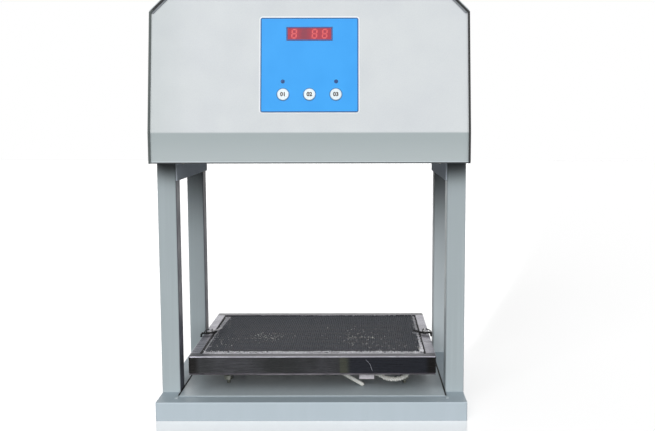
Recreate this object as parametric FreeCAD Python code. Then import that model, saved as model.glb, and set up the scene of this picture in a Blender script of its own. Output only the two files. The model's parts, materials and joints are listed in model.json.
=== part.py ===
import FreeCAD, Part
import math
import os

# Heating reactor for reflux flasks: a flat base with a heating tray, four square posts
# and a control head whose holes steady the air-cooled condenser tubes above the flasks.
# All lengths are millimetres. X runs to the right, Y runs from the front to the back,
# Z runs up, and the origin is the middle of the footprint at the bottom of the base.

Vec = FreeCAD.Vector
X_AXIS = Vec(1, 0, 0)
Y_AXIS = Vec(0, 1, 0)
Z_AXIS = Vec(0, 0, 1)

# Overall body
overall_width = 410.0
overall_depth = 290.0
sheet = 1.5                  # thickness of the folded sheet steel
fit_gap = 0.3                # gap between neighbouring sheets and pieces
overrun = 5.0                # how far a cutter runs past a face
fold_radius = 2.5            # outside radius of a fold

# Base and deck
base_height = 25.0
base_flange = 35.0           # width of the base's top flange
deck_side_gap = 1.5          # from the deck's side to the posts' inner faces
deck_setback = 22.0          # from the base's front face to the deck's front edge

# Frame
post_width = 25.0
post_depth = 25.0
post_wall = 1.5
post_corner = 2.0
post_setback = 40.0
post_height = 313.5
rail_height = 25.0
rail_leg = 18.0
rail_thickness = 2.0

# Head
band_height = 39.5           # upright band below the leaning panel
side_height = 155.5          # from the band's top to where the side walls end
side_setback = 23.0          # how far the leaning panel is set back at that height
chamfer = 51.5               # height and width of the cut-off upper corners
panel_recess = 1.6           # front panel behind the cover's edge
rear_recess = 8.0            # rear panel inside the cover's rear edge
return_flange = 12.0
head_flange = 45.0           # in-turned bottom flange of the cover
crown_margin = 12.5          # from the cut-off corners to the opening in the top
top_corner = 8.0
tube_plate_border = 9.0
inner_wall_setback = 72.0
wall_clearance = 0.5         # from the inner wall to the tube plate

# Holes for the condenser tubes
tube_hole_radius = 18.0
tube_margin_x = 21.0         # from the opening's edge to the middle of the outer holes
tube_margin_y = 22.0
tube_columns = 4
tube_rows = 2

# Heating tray
tray_side_gap = 14.0         # from the tray's side to the posts' inner faces
tray_setback = 26.0          # from the base's front face to the tray's front
tray_lift = 30.0             # from the base's top to the tray's underside
tray_height = 24.0
tray_sheet = 1.0
tray_rim = 12.5
tray_corner = 3.0
floor_thickness = 1.2
board_gap = 2.0              # dark gap between the rim and the fibre board
board_below_rim = 2.0
heater_bed_depth = 10.0
heater_bed_border = 9.0
front_shelf = 8.0            # strip of bare board in front of the gauze
gauze_inset = 3.0            # strip of bare board beside and behind the gauze
gauze_thickness = 1.8
gauze_wire = 1.4
gauze_columns = 22
gauze_rows = 13
heater_radius = 3.5
heater_runs = 8
heater_end_gap = 16.0
groove_depth = 5.0

# Studs under the tray
stud_radius = 2.5
stud_left_inset = 45.5       # from the tray's side
stud_right_inset = 39.5
stud_inset_y = 50.8          # from the tray's front or rear face
nut_lift = 5.4               # from the deck to the nut that carries the spacer
nut_across_flats = 11.0
nut_height = 5.0
washer_radius = 6.3
washer_thickness = 1.0
spacer_radius = 4.5

# Wire ties
tie_wire_radius = 0.9
tie_rise = 3.0
tie_hang = 11.0
tie_tail = 9.0
tie_reach = 8.0
tie_slant = 11.0             # how far the tie runs forward on its way over the rim
tie_slant_shares = (0.0, 0.3, 0.85, 1.2, 1.2)

# Terminal block and its leads
terminal_inset = 103.2       # from the tray's right side to the block's left side
terminal_width = 20.6
terminal_depth = 18.0
terminal_height = 14.5
terminal_setback = 45.0      # from the base's front face to the block's front
terminal_slot = 3.0
terminal_hole_radius = 2.2
terminal_screw_radius = 2.0
lead_radius = 1.9
heater_lead_radius = 2.7
lead_setback = 3.0           # from the block's front face to the lead's middle line
lead_span = 47.8             # from the block's side to where the lead enters the tray's floor
lead_sag = 8.6
lead_run_shares = (0.0, 0.1, 0.33, 0.58, 0.8, 1.0)
lead_sag_shares = (0.0, 0.0, 0.87, 1.0, 0.82, 0.0)
supply_run_shares = (0.0, 0.09, 0.30, 0.58, 0.84, 1.0)
supply_side_shares = (0.0, 0.0, 0.25, 0.55, 0.86, 1.0)
supply_height_shares = (1.0, 1.0, 0.65, 0.75, 0.95, 0.62)
sleeve_width = 4.5
sleeve_thickness = 2.6
sleeve_head_offset = 41.6    # from the block's left side to the sleeve's upper end
sleeve_foot_offset = 4.4     # from the block's left side to its lower end
grommet_radius = 6.0
grommet_bore = 2.3
grommet_height = 3.0
grommet_side_inset = 26.0    # from the tray's right side to the grommet
grommet_inset = 48.0         # from the tray's rear face to the grommet

# Screws
screw_radius = 1.5
screw_head_radius = 2.9
screw_head_height = 1.4
screw_length = 6.0
screw_clearance = 0.2

# Keypad on the leaning panel, measured up the lean from the band's top edge
keypad_width = 125.0
keypad_low = 26.0
keypad_height = 121.8
keypad_thickness = 0.5
keypad_corner = 2.5
window_width = 59.0
window_height = 18.0
window_drop = 20.8           # from the keypad's upper edge to the window's middle
window_proud = 0.2
button_radius = 7.3
button_pitch = 33.7
button_rise = 22.9           # from the keypad's lower edge
button_proud = 0.9
button_travel = 0.5
button_gap = 0.25
button_flange = 1.3
button_flange_thickness = 1.2
button_edge = 0.4
stem_radius = 2.0
lamp_radius = 1.5
lamp_rise = 39.5
lamp_offset = 34.0
lamp_gap = 0.1
lamp_length = 5.0
lamp_rim = 0.4
pin_radius = 0.35

# Display board behind the panel
board_depth = 13.0           # from the panel's outer face to the board
board_thickness = 1.6
board_side_margin = 4.5      # from the keypad's edges to the board's
board_low_margin = 6.0
board_high_margin = 4.8
spacer_radius = 3.0
spacer_inset = 5.0
module_width = 51.0
module_height = 19.0
module_depth = 8.0
socket_width = 44.0
socket_height = 10.0
switch_side = 12.0
switch_depth = 4.3
plunger_radius = 1.8
plunger_length = 1.2

# Parts on the inner wall and on the head's bottom plate
control_board_width = 120.0
control_board_height = 90.0
control_board_x = 40.0
control_board_lift = 60.0
standoff_length = 6.0
relay_width = 28.0
relay_height = 32.0
relay_depth = 18.0
relay_offset = 35.0          # from the control board's middle to the right
relay_rise = 10.0            # from the control board's lower edge
strip_width = 60.0
strip_height = 12.0
strip_depth = 11.0
strip_offset = -15.0
strip_rise = 4.0
strip_ways = 6
strip_screw_radius = 2.2
transformer_inset = 95.0     # from the head's left side
transformer_width = 58.0
transformer_depth = 34.0
transformer_height = 48.0
transformer_setback = 14.0
winding_width = 30.0
winding_bulge = 5.0
core_window = 12.0

# Cooling fans in the rear panel
fan_side = 80.0
fan_depth = 25.0
fan_corner = 5.0
fan_wall = 2.0               # least wall round the fan's bore
fan_inset = 110.0            # from the head's side to the fan's middle
fan_lift = 131.5             # from the head's underside to the fan's middle
fan_hole_inset = 4.25
fan_hole_radius = 2.15
hub_radius = 17.0
hub_depth = 19.0
hub_wall = 1.5
blade_count = 7
blade_thickness = 1.3
blade_gap = 0.8
blade_camber_share = 0.1
blade_root_depth = 4.0       # how far the blades start inside the hub
blade_root_chord = 19.0
blade_tip_chord = 22.0
blade_root_angle = 50.0
blade_tip_angle = 32.0
shaft_radius = 1.5
shaft_clearance = 0.05
motor_radius = 15.0
motor_plate = 2.0
strut_width = 4.0
bearing_radius = 4.0
bearing_length = 8.0
running_gap = 0.6
guard_thickness = 1.0
guard_centre_radius = 9.0
guard_edge = 2.0
guard_bar = 2.8
guard_rings = 3

# Power inlet, fuse holder and rocker switch on the rear panel
inlet_inset = 85.0           # from the head's side to the inlet's or the switch's middle
inlet_lift = 33.5            # from the head's underside to their middle line
inlet_flange_width = 49.0
inlet_flange_height = 25.0
inlet_flange_thickness = 2.5
inlet_flange_corner = 4.0
inlet_body_width = 28.0
inlet_body_height = 20.0
inlet_body_depth = 25.0
inlet_wall = 1.7
inlet_back_wall = 4.0
inlet_cavity_cut = 5.0
inlet_screw_inset = 4.5      # from the flange's ends
inlet_pin_width = 4.0
inlet_pin_height = 2.0
inlet_pin_length = 14.0
inlet_pin_tail = 7.0
inlet_pin_spacing = 7.0
inlet_pin_drop = 4.0
fuse_offset = 50.0           # from the inlet's middle to the fuse holder's
fuse_radius = 6.0
fuse_cap_radius = 7.5
fuse_cap_length = 4.5
fuse_flange_radius = 9.0
fuse_flange_thickness = 2.0
fuse_body_length = 26.0
fuse_slot = 1.4
switch_lip_x = 2.0           # how far the flange laps over the body
switch_lip_z = 1.8
switch_flange_thickness = 2.0
switch_flange_corner = 2.0
switch_body_width = 27.0
switch_body_height = 21.4
switch_body_depth = 20.0
switch_wall = 2.0
switch_end_wall = 1.5
rocker_height = 4.2
rocker_valley = 2.6
rocker_root_radius = 4.6
rocker_gap = 0.5
rocker_pin_radius = 1.2
rocker_pin_reach = 1.6       # how far the pin goes into the housing's walls
rocker_pin_gap = 0.05
rocker_tilt = 9.0            # degrees each way from level

# Derived places
half_width = overall_width / 2
half_depth = overall_depth / 2
front = -half_depth
rear = half_depth
head_bottom = base_height + post_height
band_top = head_bottom + band_height
chamfer_start = band_top + side_height
overall_height = chamfer_start + chamfer
lean_angle = math.atan2(side_setback, side_height)
post_inner_x = half_width - post_width
deck_half_width = post_inner_x - deck_side_gap
deck_top = base_height + sheet
head_floor = head_bottom + 2 * sheet
rear_face = rear - rear_recess
rear_inside = rear_face - sheet
wall_front = front + inner_wall_setback
wall_rear = wall_front + sheet
top_opening_x = 2 * (half_width - chamfer - crown_margin)
top_opening_y = 2 * (-wall_rear - tube_plate_border - wall_clearance)
tube_pitch_x = (top_opening_x - 2 * tube_margin_x) / (tube_columns - 1)
tube_pitch_y = (top_opening_y - 2 * tube_margin_y) / (tube_rows - 1)
tray_half_width = post_inner_x - tray_side_gap
tray_half_depth = half_depth - tray_setback
tray_bottom = base_height + tray_lift
tray_top = tray_bottom + tray_height
board_top = tray_top - board_below_rim
board_half_width = tray_half_width - tray_rim - board_gap
board_half_depth = tray_half_depth - tray_rim - board_gap
tray_floor_top = tray_bottom + tray_sheet + floor_thickness
gauze_front = -board_half_depth + front_shelf
gauze_rear = board_half_depth - gauze_inset
gauze_half_width = board_half_width - gauze_inset
stud_y = tray_half_depth - stud_inset_y
stud_left_x = stud_left_inset - tray_half_width
stud_right_x = tray_half_width - stud_right_inset
terminal_left_x = tray_half_width - terminal_inset
grommet_x = tray_half_width - grommet_side_inset
keypad_high = keypad_low + keypad_height
window_centre = keypad_high - window_drop
button_centre = keypad_low + button_rise
lamp_centre = keypad_low + lamp_rise
board_width = keypad_width - 2 * board_side_margin
board_low = keypad_low + board_low_margin
board_high = keypad_high - board_high_margin
panel_inner = panel_recess + sheet
board_face = wall_front - standoff_length - board_thickness
relay_x = control_board_x + relay_offset
strip_x = control_board_x + strip_offset
transformer_x = transformer_inset - half_width
fan_x = half_width - fan_inset
fan_z = head_bottom + fan_lift
fan_bore_radius = fan_side / 2 - fan_wall
fan_hole_pitch = fan_side - 2 * fan_hole_inset
guard_slot = (fan_bore_radius - guard_edge - guard_centre_radius) / guard_rings - guard_bar
inlet_x = inlet_inset - half_width
inlet_z = head_bottom + inlet_lift
inlet_cavity_width = inlet_body_width - 2 * inlet_wall
inlet_cavity_height = inlet_body_height - 2 * inlet_wall
inlet_cavity_depth = inlet_body_depth - inlet_back_wall
inlet_screw_pitch = inlet_flange_width - 2 * inlet_screw_inset
fuse_x = inlet_x + fuse_offset
switch_x = half_width - inlet_inset
switch_z = inlet_z
switch_flange_width = switch_body_width + 2 * switch_lip_x
switch_flange_height = switch_body_height + 2 * switch_lip_z
rocker_width = switch_body_width - 2 * switch_wall - 2 * rocker_gap
rocker_half_length = switch_body_height / 2 - switch_end_wall - 2 * rocker_gap
exports = {}


def block(x0, x1, y0, y1, z0, z1):
    """A box between two corners."""
    return Part.makeBox(x1 - x0, y1 - y0, z1 - z0, Vec(x0, y0, z0))


def centred(x, y, z0, width, depth, height):
    """A box centred on x and y that stands on z0."""
    return block(x - width / 2, x + width / 2, y - depth / 2, y + depth / 2, z0, z0 + height)


def rod(radius, length, start, direction=Z_AXIS):
    """A round bar from start along direction."""
    return Part.makeCylinder(radius, length, start, direction)


def prism(points, direction):
    """A closed outline pushed along direction."""
    return Part.Face(Part.makePolygon(points + [points[0]])).extrude(direction)


def along(edge, axis):
    """True for a straight edge that is parallel to axis."""
    run = edge.Vertexes[-1].Point.sub(edge.Vertexes[0].Point)
    if run.Length == 0:
        return False
    return abs(abs(run.normalize().dot(axis)) - 1) < 1e-6


def round_edges(shape, radius, axis, keep=None):
    """Round the edges parallel to axis, or only those that keep accepts."""
    edges = [e for e in shape.Edges if along(e, axis)]
    if keep:
        edges = [e for e in edges if keep(e.CenterOfMass)]
    return shape.makeFillet(radius, edges)


def fuse_all(shapes):
    """One solid from overlapping shapes."""
    joined = shapes[0].multiFuse(shapes[1:]) if len(shapes) > 1 else shapes[0]
    return joined.removeSplitter()


def put(shape, origin, rotation=None):
    """A copy of shape, turned about its own origin and moved to origin."""
    copy = shape.copy()
    copy.Placement = FreeCAD.Placement(origin, rotation or FreeCAD.Rotation())
    return copy


def mirrored(shape):
    """The same shape on the other side of the object's middle plane."""
    return shape.mirror(Vec(0, 0, 0), X_AXIS)


def save(name, *shapes):
    """Keep the solids of one named piece for export."""
    solids = [solid for shape in shapes for solid in shape.Solids]
    exports[name] = solids[0] if len(solids) == 1 else Part.makeCompound(solids)


def screws(places, direction):
    """Pan-head screws whose heads sit at places and whose shanks point along direction."""
    back = Vec(direction) * -screw_head_height
    made = []
    for place in places:
        head = rod(screw_head_radius, screw_head_height, place + back, direction)
        head = head.makeChamfer(screw_head_height / 2, [e for e in head.Edges if is_rim(e, place + back)])
        shank = rod(screw_radius, screw_length, place, direction)
        made.append(head.fuse(shank))
    return made


def is_rim(edge, centre):
    """True for the round edge whose plane passes through centre."""
    if edge.Curve.TypeId != "Part::GeomCircle":
        return False
    return edge.Curve.Center.sub(centre).Length < screw_radius / 2


def screw_holes(places, direction):
    """Clearance holes for the same screws."""
    back = Vec(direction) * -overrun
    length = screw_length + 2 * overrun
    return [rod(screw_radius + screw_clearance, length, place + back, direction) for place in places]


def hexagon(across_flats, height, centre):
    """A hexagonal nut blank that stands on centre."""
    reach = across_flats / 2 / math.cos(math.pi / 6)
    points = [centre + Vec(reach * math.cos(k * math.pi / 3), reach * math.sin(k * math.pi / 3), 0)
              for k in range(6)]
    return prism(points, Z_AXIS * height)


def rounded_path(points):
    """Straight runs joined by tangent arcs, as wide as the two runs of each corner allow."""
    edges = []
    radii = []
    start = points[0]
    for before, corner, after in zip(points, points[1:], points[2:]):
        run_in = corner.sub(before)
        run_out = after.sub(corner)
        turn = run_in.getAngle(run_out)
        set_back = 0.45 * min(run_in.Length, run_out.Length)
        unit_in = Vec(run_in).normalize()
        unit_out = Vec(run_out).normalize()
        arc_start = corner - unit_in * set_back
        arc_end = corner + unit_out * set_back
        radius = set_back / math.tan(turn / 2)
        inward = (unit_out - unit_in).normalize()
        middle = corner + inward * (radius / math.cos(turn / 2) - radius)
        edges.append(Part.LineSegment(start, arc_start).toShape())
        edges.append(Part.Arc(arc_start, middle, arc_end).toShape())
        radii.append(radius)
        start = arc_end
    edges.append(Part.LineSegment(start, points[-1]).toShape())
    return Part.Wire(edges), radii


def tube(name, points, radius):
    """A round lead along rounded runs; its radii and its length are printed."""
    path, radii = rounded_path(points)
    direction = points[1].sub(points[0])
    ring = Part.Wire(Part.makeCircle(radius, points[0], direction))
    solid = path.makePipeShell([ring], True, False)
    expected = math.pi * radius ** 2 * path.Length
    print(name, "length", round(path.Length, 1), "least radius", round(min(radii), 1),
          "volume against section times length", round(solid.Volume / expected, 4))
    return solid


def base_pan():
    """Folded base pan: four walls and a top flange round a wide opening."""
    pan = block(-half_width, half_width, front, rear, 0, base_height)
    pan = round_edges(pan, fold_radius, Z_AXIS)
    top = [e for e in pan.Edges if abs(e.CenterOfMass.z - base_height) < sheet / 2]
    pan = pan.makeFillet(fold_radius / 2, top)
    inside = block(-half_width + sheet, half_width - sheet, front + sheet, rear - sheet,
                   -overrun, base_height - sheet)
    inside = round_edges(inside, fold_radius - sheet, Z_AXIS)
    opening = block(-half_width + base_flange, half_width - base_flange, front + base_flange,
                    rear - base_flange, 0, base_height + overrun)
    opening = round_edges(opening, fold_radius, Z_AXIS)
    return pan.cut([inside, opening] + screw_holes(deck_screw_places(), -Z_AXIS))


def base_bottom_plate():
    """Flat plate that closes the base pan from below."""
    gap = sheet + fit_gap
    plate = block(-half_width + gap, half_width - gap, front + gap, rear - gap, 0, sheet)
    return round_edges(plate, fold_radius - sheet, Z_AXIS)


def deck_screw_places():
    """Screws at the deck's corners: one pair in front of it, and one pair behind."""
    x = post_inner_x
    y = half_depth - deck_setback + screw_head_radius * 2
    return [Vec(x * side, y * end, base_height) for side in (-1, 1) for end in (-1, 1)]


def grommet_place():
    """Where the supply lead goes down through the deck."""
    return Vec(grommet_x, tray_half_depth - grommet_inset, deck_top)


def deck_plate():
    """Deck laid on the base flange, with a rounded front edge and a hole for the lead."""
    back = rear - deck_setback
    deck = block(-deck_half_width, deck_half_width, front + deck_setback, back, base_height, deck_top)
    deck = round_edges(deck, sheet / 2, X_AXIS, lambda c: c.z > base_height + sheet / 2)
    hole = rod(grommet_radius - sheet, 2 * overrun, grommet_place() - Z_AXIS * overrun)
    studs = [rod(stud_radius + fit_gap, 2 * overrun, place - Z_AXIS * overrun) for place in stud_places()]
    return deck.cut([hole] + studs)


def lead_grommet():
    """Rubber ring with a groove that grips the deck round the lead."""
    place = grommet_place()
    low = place - Z_AXIS * (sheet + grommet_height / 2)
    body = rod(grommet_radius, sheet + grommet_height, low)
    groove = rod(grommet_radius + overrun, sheet, place - Z_AXIS * sheet)
    groove = groove.cut(rod(grommet_radius - sheet - fit_gap / 3, sheet, place - Z_AXIS * sheet))
    bore = rod(grommet_bore, sheet + grommet_height + 2 * overrun, low - Z_AXIS * overrun)
    return body.cut([groove, bore])


def post(side, end):
    """One square-tube post; side is -1 for left and end is -1 for front."""
    x_out = side * half_width
    x_in = side * post_inner_x
    y_out = end * (half_depth - post_setback)
    y_in = end * (half_depth - post_setback - post_depth)
    x0, x1 = sorted((x_out, x_in))
    y0, y1 = sorted((y_out, y_in))
    outer = round_edges(block(x0, x1, y0, y1, base_height, head_bottom), post_corner, Z_AXIS)
    inner = block(x0 + post_wall, x1 - post_wall, y0 + post_wall, y1 - post_wall,
                  base_height - overrun, head_bottom + overrun)
    inner = round_edges(inner, post_corner - post_wall, Z_AXIS)
    return outer.cut(inner)


def rail_screw_places():
    """Screws up through each rail's level leg, near the posts."""
    x = post_inner_x - rail_leg / 2
    y = half_depth - post_setback - post_depth / 4
    return [Vec(x * side, y * end, head_bottom - rail_thickness) for side in (-1, 1) for end in (-1, 1)]


def side_rail():
    """Left angle rail: upright leg on the posts, level leg under the head."""
    x = -post_inner_x
    y = half_depth - post_setback
    upright = block(x, x + rail_thickness, -y, y, head_bottom - rail_height, head_bottom)
    level = block(x, x + rail_leg, -y, y, head_bottom - rail_thickness, head_bottom)
    rail = upright.fuse(level).removeSplitter()
    rail = round_edges(rail, rail_thickness, Y_AXIS,
                       lambda c: abs(c.x - x - rail_thickness) < fit_gap
                       and abs(c.z - head_bottom + rail_thickness) < fit_gap)
    return rail.cut(screw_holes(rail_screw_places(), Z_AXIS))


def tray_frame():
    """Stainless frame of the tray: walls with an in-turned rim above and below."""
    wide = tray_half_width
    deep = tray_half_depth
    outer = block(-wide, wide, -deep, deep, tray_bottom, tray_top)
    outer = round_edges(outer, tray_corner, Z_AXIS)
    ends = [e for e in outer.Edges if abs(e.CenterOfMass.z - tray_top) < tray_sheet / 2
            or abs(e.CenterOfMass.z - tray_bottom) < tray_sheet / 2]
    outer = outer.makeFillet(tray_sheet, ends)
    wide -= tray_sheet
    deep -= tray_sheet
    channel = block(-wide, wide, -deep, deep, tray_bottom + tray_sheet, tray_top - tray_sheet)
    channel = round_edges(channel, tray_corner - tray_sheet, Z_AXIS)
    wide = tray_half_width - tray_rim
    deep = tray_half_depth - tray_rim
    window = block(-wide, wide, -deep, deep, tray_bottom - overrun, tray_top + overrun)
    return outer.cut([channel, window])


def stud_places():
    """Where the four studs stand on the deck."""
    return [Vec(x, stud_y * end, base_height) for x in (stud_left_x, stud_right_x) for end in (-1, 1)]


def tray_floor():
    """Flat floor that lies on the frame's lower rim."""
    wide = tray_half_width - tray_sheet - fit_gap
    deep = tray_half_depth - tray_sheet - fit_gap
    low = tray_bottom + tray_sheet
    floor = block(-wide, wide, -deep, deep, low, low + floor_thickness)
    floor = round_edges(floor, tray_corner - tray_sheet, Z_AXIS)
    holes = [rod(stud_radius + fit_gap, 4 * overrun, Vec(p.x, p.y, low - overrun)) for p in stud_places()]
    hole_radius = heater_lead_radius + fit_gap
    holes += [rod(hole_radius, 4 * overrun, Vec(p.x, p.y, low - overrun)) for p in tail_places()]
    return floor.cut(holes)


def tray_stud(place):
    """Threaded stud whose nut and washer carry a spacer tube that the tray stands on."""
    floor_low = tray_bottom + tray_sheet
    stud = rod(stud_radius, floor_low + floor_thickness - base_height, place)
    seat = Vec(place.x, place.y, deck_top + nut_lift)
    nut = hexagon(nut_across_flats, nut_height, seat)
    washer = rod(washer_radius, washer_thickness, seat + Z_AXIS * nut_height)
    foot = seat + Z_AXIS * (nut_height + washer_thickness)
    spacer = rod(spacer_radius, floor_low - foot.z, foot)
    return fuse_all([stud, nut, washer, spacer])


def heater_lines():
    """Y places of the straight runs of the heating element."""
    low = -board_half_depth + heater_bed_border + front_shelf
    high = board_half_depth - heater_bed_border - gauze_inset
    step = (high - low) / heater_runs
    return [low + step * (k + 0.5) for k in range(heater_runs)], step


def heater_height():
    """Height of the heating element's middle line."""
    return board_top - heater_bed_depth - groove_depth + heater_radius + fit_gap


def serpentine(radius, z, reach):
    """Round bar that runs to and fro across the tray."""
    lines, step = heater_lines()
    bars = []
    for k, y in enumerate(lines):
        bars.append(rod(radius, 2 * reach, Vec(-reach, y, z), X_AXIS))
        if k + 1 < len(lines):
            side = 1 if k % 2 == 0 else -1
            ring = Part.makeTorus(step / 2, radius, Vec(side * reach, y + step / 2, z), Z_AXIS)
            half = block(0, reach, y - step, y + 2 * step, z - 2 * radius, z + 2 * radius)
            half.translate(Vec(reach, 0, 0) if side > 0 else Vec(-2 * reach, 0, 0))
            bars.append(ring.common(half))
    return fuse_all(bars)


def heater_reach():
    """Half the length of the element's straight runs."""
    return board_half_width - heater_bed_border - heater_end_gap - heater_lines()[1] / 2


def insulation_board():
    """Fibre board with a sunk bed and grooves for the heating element."""
    board = block(-board_half_width, board_half_width, -board_half_depth, board_half_depth,
                  tray_floor_top, board_top)
    lines, step = heater_lines()
    side = board_half_width - heater_bed_border
    bed = block(-side, side, lines[0] - step / 2, lines[-1] + step / 2,
                board_top - heater_bed_depth, board_top + overrun)
    grooves = []
    wide = heater_radius + fit_gap
    floor = heater_height() - wide
    reach = heater_reach() + step / 2 + wide
    for y in lines:
        grooves.append(block(-reach, reach, y - wide, y + wide, floor, board_top))
    ends = [block(-reach, -heater_reach(), lines[0] - wide, lines[-1] + wide, floor, board_top),
            block(heater_reach(), reach, lines[0] - wide, lines[-1] + wide, floor, board_top)]
    return board.cut([bed] + grooves + ends)


def heater_element():
    """Heating coil, drawn at its outer diameter, lying in the board's grooves."""
    return serpentine(heater_radius, heater_height(), heater_reach())


def wire_gauze():
    """Wire gauze on the board, as one net with square gaps."""
    low = board_top
    pitch_x = (2 * gauze_half_width - gauze_wire) / gauze_columns
    pitch_y = (gauze_rear - gauze_front - gauze_wire) / gauze_rows
    face = Part.Face(Part.makePolygon(corners(-gauze_half_width, gauze_half_width, gauze_front,
                                              gauze_rear, low)))
    gaps = []
    for i in range(gauze_columns):
        for j in range(gauze_rows):
            x0 = -gauze_half_width + gauze_wire + i * pitch_x
            y0 = gauze_front + gauze_wire + j * pitch_y
            gaps.append(Part.Wire(Part.makePolygon(corners(x0, x0 + pitch_x - gauze_wire, y0,
                                                           y0 + pitch_y - gauze_wire, low))))
    net = Part.Face([face.OuterWire] + gaps)
    net.validate()
    return net.extrude(Z_AXIS * gauze_thickness)


def corners(x0, x1, y0, y1, z):
    """Closed list of a rectangle's corners."""
    return [Vec(x0, y0, z), Vec(x1, y0, z), Vec(x1, y1, z), Vec(x0, y1, z), Vec(x0, y0, z)]


def gauze_tie():
    """Left wire tie: from the gauze aslant over the rim and down the tray's outer wall."""
    lift = tie_wire_radius + fit_gap
    x_wall = -tray_half_width - lift
    x_rim = (x_wall - gauze_half_width) / 2
    top = tray_top + lift
    bow = tie_rise / 2
    across = [-gauze_half_width + tie_reach, -gauze_half_width, x_rim, x_wall - bow, x_wall]
    heights = [top, top + bow / 2, top + bow / 4, top + bow, top - tie_hang]
    path = [Vec(x, -tie_slant * share, z) for x, share, z in zip(across, tie_slant_shares, heights)]
    wire = tube("gauze tie", path, tie_wire_radius)
    beside = path[2] + Y_AXIS * (2 * tie_wire_radius + fit_gap)
    turned = [beside, beside + Vec(-tie_rise, tie_tail / 2, bow), beside + Vec(-bow, tie_tail, tie_rise)]
    tail = tube("tie tail", turned, tie_wire_radius)
    head = rod(screw_head_radius, screw_head_height, Vec(-tray_half_width + tray_rim / 2, 0, tray_top))
    return [wire, tail, head]


def terminal_block():
    """Two-way ceramic block under the tray, with wire holes and screw slots."""
    x0 = terminal_left_x
    y0 = front + terminal_setback
    z1 = tray_bottom + tray_sheet
    z0 = z1 - terminal_height
    body = block(x0, x0 + terminal_width, y0, y0 + terminal_depth, z0, z1)
    body = round_edges(body, fold_radius / 2, Z_AXIS)
    groove = block(x0 + terminal_width / 2 - terminal_slot / 2, x0 + terminal_width / 2 + terminal_slot / 2,
                   y0 + terminal_slot, y0 + terminal_depth + overrun, z0 - overrun, z0 + terminal_slot)
    return body.cut([groove] + [wire_hole(k) for k in range(2)] + [screw_well(k) for k in range(2)])


def terminal_way(k):
    """Middle of one way of the terminal block."""
    x = terminal_left_x + terminal_width / 4 + k * terminal_width / 2
    z = tray_bottom + tray_sheet - terminal_height / 2
    return Vec(x, front + terminal_setback + terminal_depth / 2, z)


def wire_hole(k):
    """Hole that takes a lead from the back of one way."""
    place = terminal_way(k)
    return rod(terminal_hole_radius, terminal_depth, place, Y_AXIS)


def screw_well(k):
    """Well for a clamping screw, open below."""
    place = terminal_way(k)
    radius = terminal_screw_radius + fit_gap
    return rod(radius, terminal_height, place - Z_AXIS * terminal_height)


def terminal_screws():
    """Clamping screws in their wells."""
    made = []
    for k in range(2):
        place = terminal_way(k)
        length = terminal_height / 2 - sheet
        made.append(rod(terminal_screw_radius, length, place - Z_AXIS * length))
    return made


def tail_places():
    """Where the element's lead goes up through the tray's floor."""
    y = front + terminal_setback + lead_setback
    return [Vec(terminal_left_x + terminal_width + lead_span, y, tray_bottom + tray_sheet)]


def heater_lead():
    """Braided lead from the terminal block's side, sagging below the tray and up into its floor."""
    tail = tail_places()[0]
    x0 = terminal_left_x + terminal_width
    z0 = terminal_way(1).z
    points = [Vec(x0 + lead_span * run, tail.y, z0 - lead_sag * sag)
              for run, sag in zip(lead_run_shares, lead_sag_shares)]
    return tube("heater lead", points + [tail], heater_lead_radius)


def supply_lead():
    """Lead from the block's rear, along under the tray and down through the deck's grommet."""
    way = terminal_way(1)
    low = grommet_place()
    y0 = way.y + terminal_depth / 2
    points = []
    for run, side, height in zip(supply_run_shares, supply_side_shares, supply_height_shares):
        points.append(Vec(way.x + (low.x - way.x) * side, y0 + (low.y - y0) * run,
                          low.z + (way.z - low.z) * height))
    return tube("supply lead", points + [Vec(low.x, low.y, base_height - overrun)], lead_radius)


def sleeve_end():
    """End of a flat woven sleeve that leans from the tray's floor down to the deck."""
    y = front + terminal_setback + terminal_depth * 5 / 6
    top = tray_bottom + tray_sheet
    head = Vec(terminal_left_x - sleeve_head_offset, y, top)
    reach = sleeve_head_offset + sleeve_foot_offset
    tilt = math.atan2(top - deck_top - sleeve_width / 2, reach)
    half = sleeve_width / 2
    foot = Vec(head.x + reach, y, deck_top + fit_gap + half * math.cos(tilt))
    run = head.sub(foot)
    side = Vec(-run.z, 0, run.x).normalize()
    ring = Part.Ellipse(foot + side * half, foot + Y_AXIS * (sleeve_thickness / 2), foot).toShape()
    strip = Part.Face(Part.Wire(ring)).extrude(run * 2)
    above = top + 2 * (top - foot.z)
    return strip.cut(block(head.x - 2 * reach, head.x + reach, y - overrun, y + overrun, top, above))


def front_line(inset, z_low, z_high):
    """Side view of the bent front, set in by inset: foot, bend and top."""
    bend = Vec(0, front + inset, band_top - inset * math.tan(lean_angle / 2))
    top_y = front + inset / math.cos(lean_angle) + (z_high - band_top) * math.tan(lean_angle)
    return [Vec(0, front + inset, z_low), bend, Vec(0, top_y, z_high)]


def head_section(inset, z_low, y0, y1, bend_radius):
    """Front view of the head with cut-off upper corners, pushed from y0 to y1."""
    wide = half_width - inset
    slip = inset * math.tan(math.pi / 8)
    shoulder = chamfer_start - slip
    crown = half_width - chamfer - slip
    top = overall_height - inset
    points = [Vec(-wide, y0, z_low), Vec(wide, y0, z_low), Vec(wide, y0, shoulder), Vec(crown, y0, top),
              Vec(-crown, y0, top), Vec(-wide, y0, shoulder)]
    solid = prism(points, Y_AXIS * (y1 - y0))
    return round_edges(solid, bend_radius, Y_AXIS, lambda c: c.z > band_top)


def head_side(inset, z_low, z_high, y_back):
    """Side view of the head from the bent front to y_back, across the full width."""
    line = front_line(inset, z_low, z_high)
    points = line + [Vec(0, y_back, z_high), Vec(0, y_back, z_low)]
    points = [p + X_AXIS * -overall_width for p in points]
    return prism(points, X_AXIS * 2 * overall_width)


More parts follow.
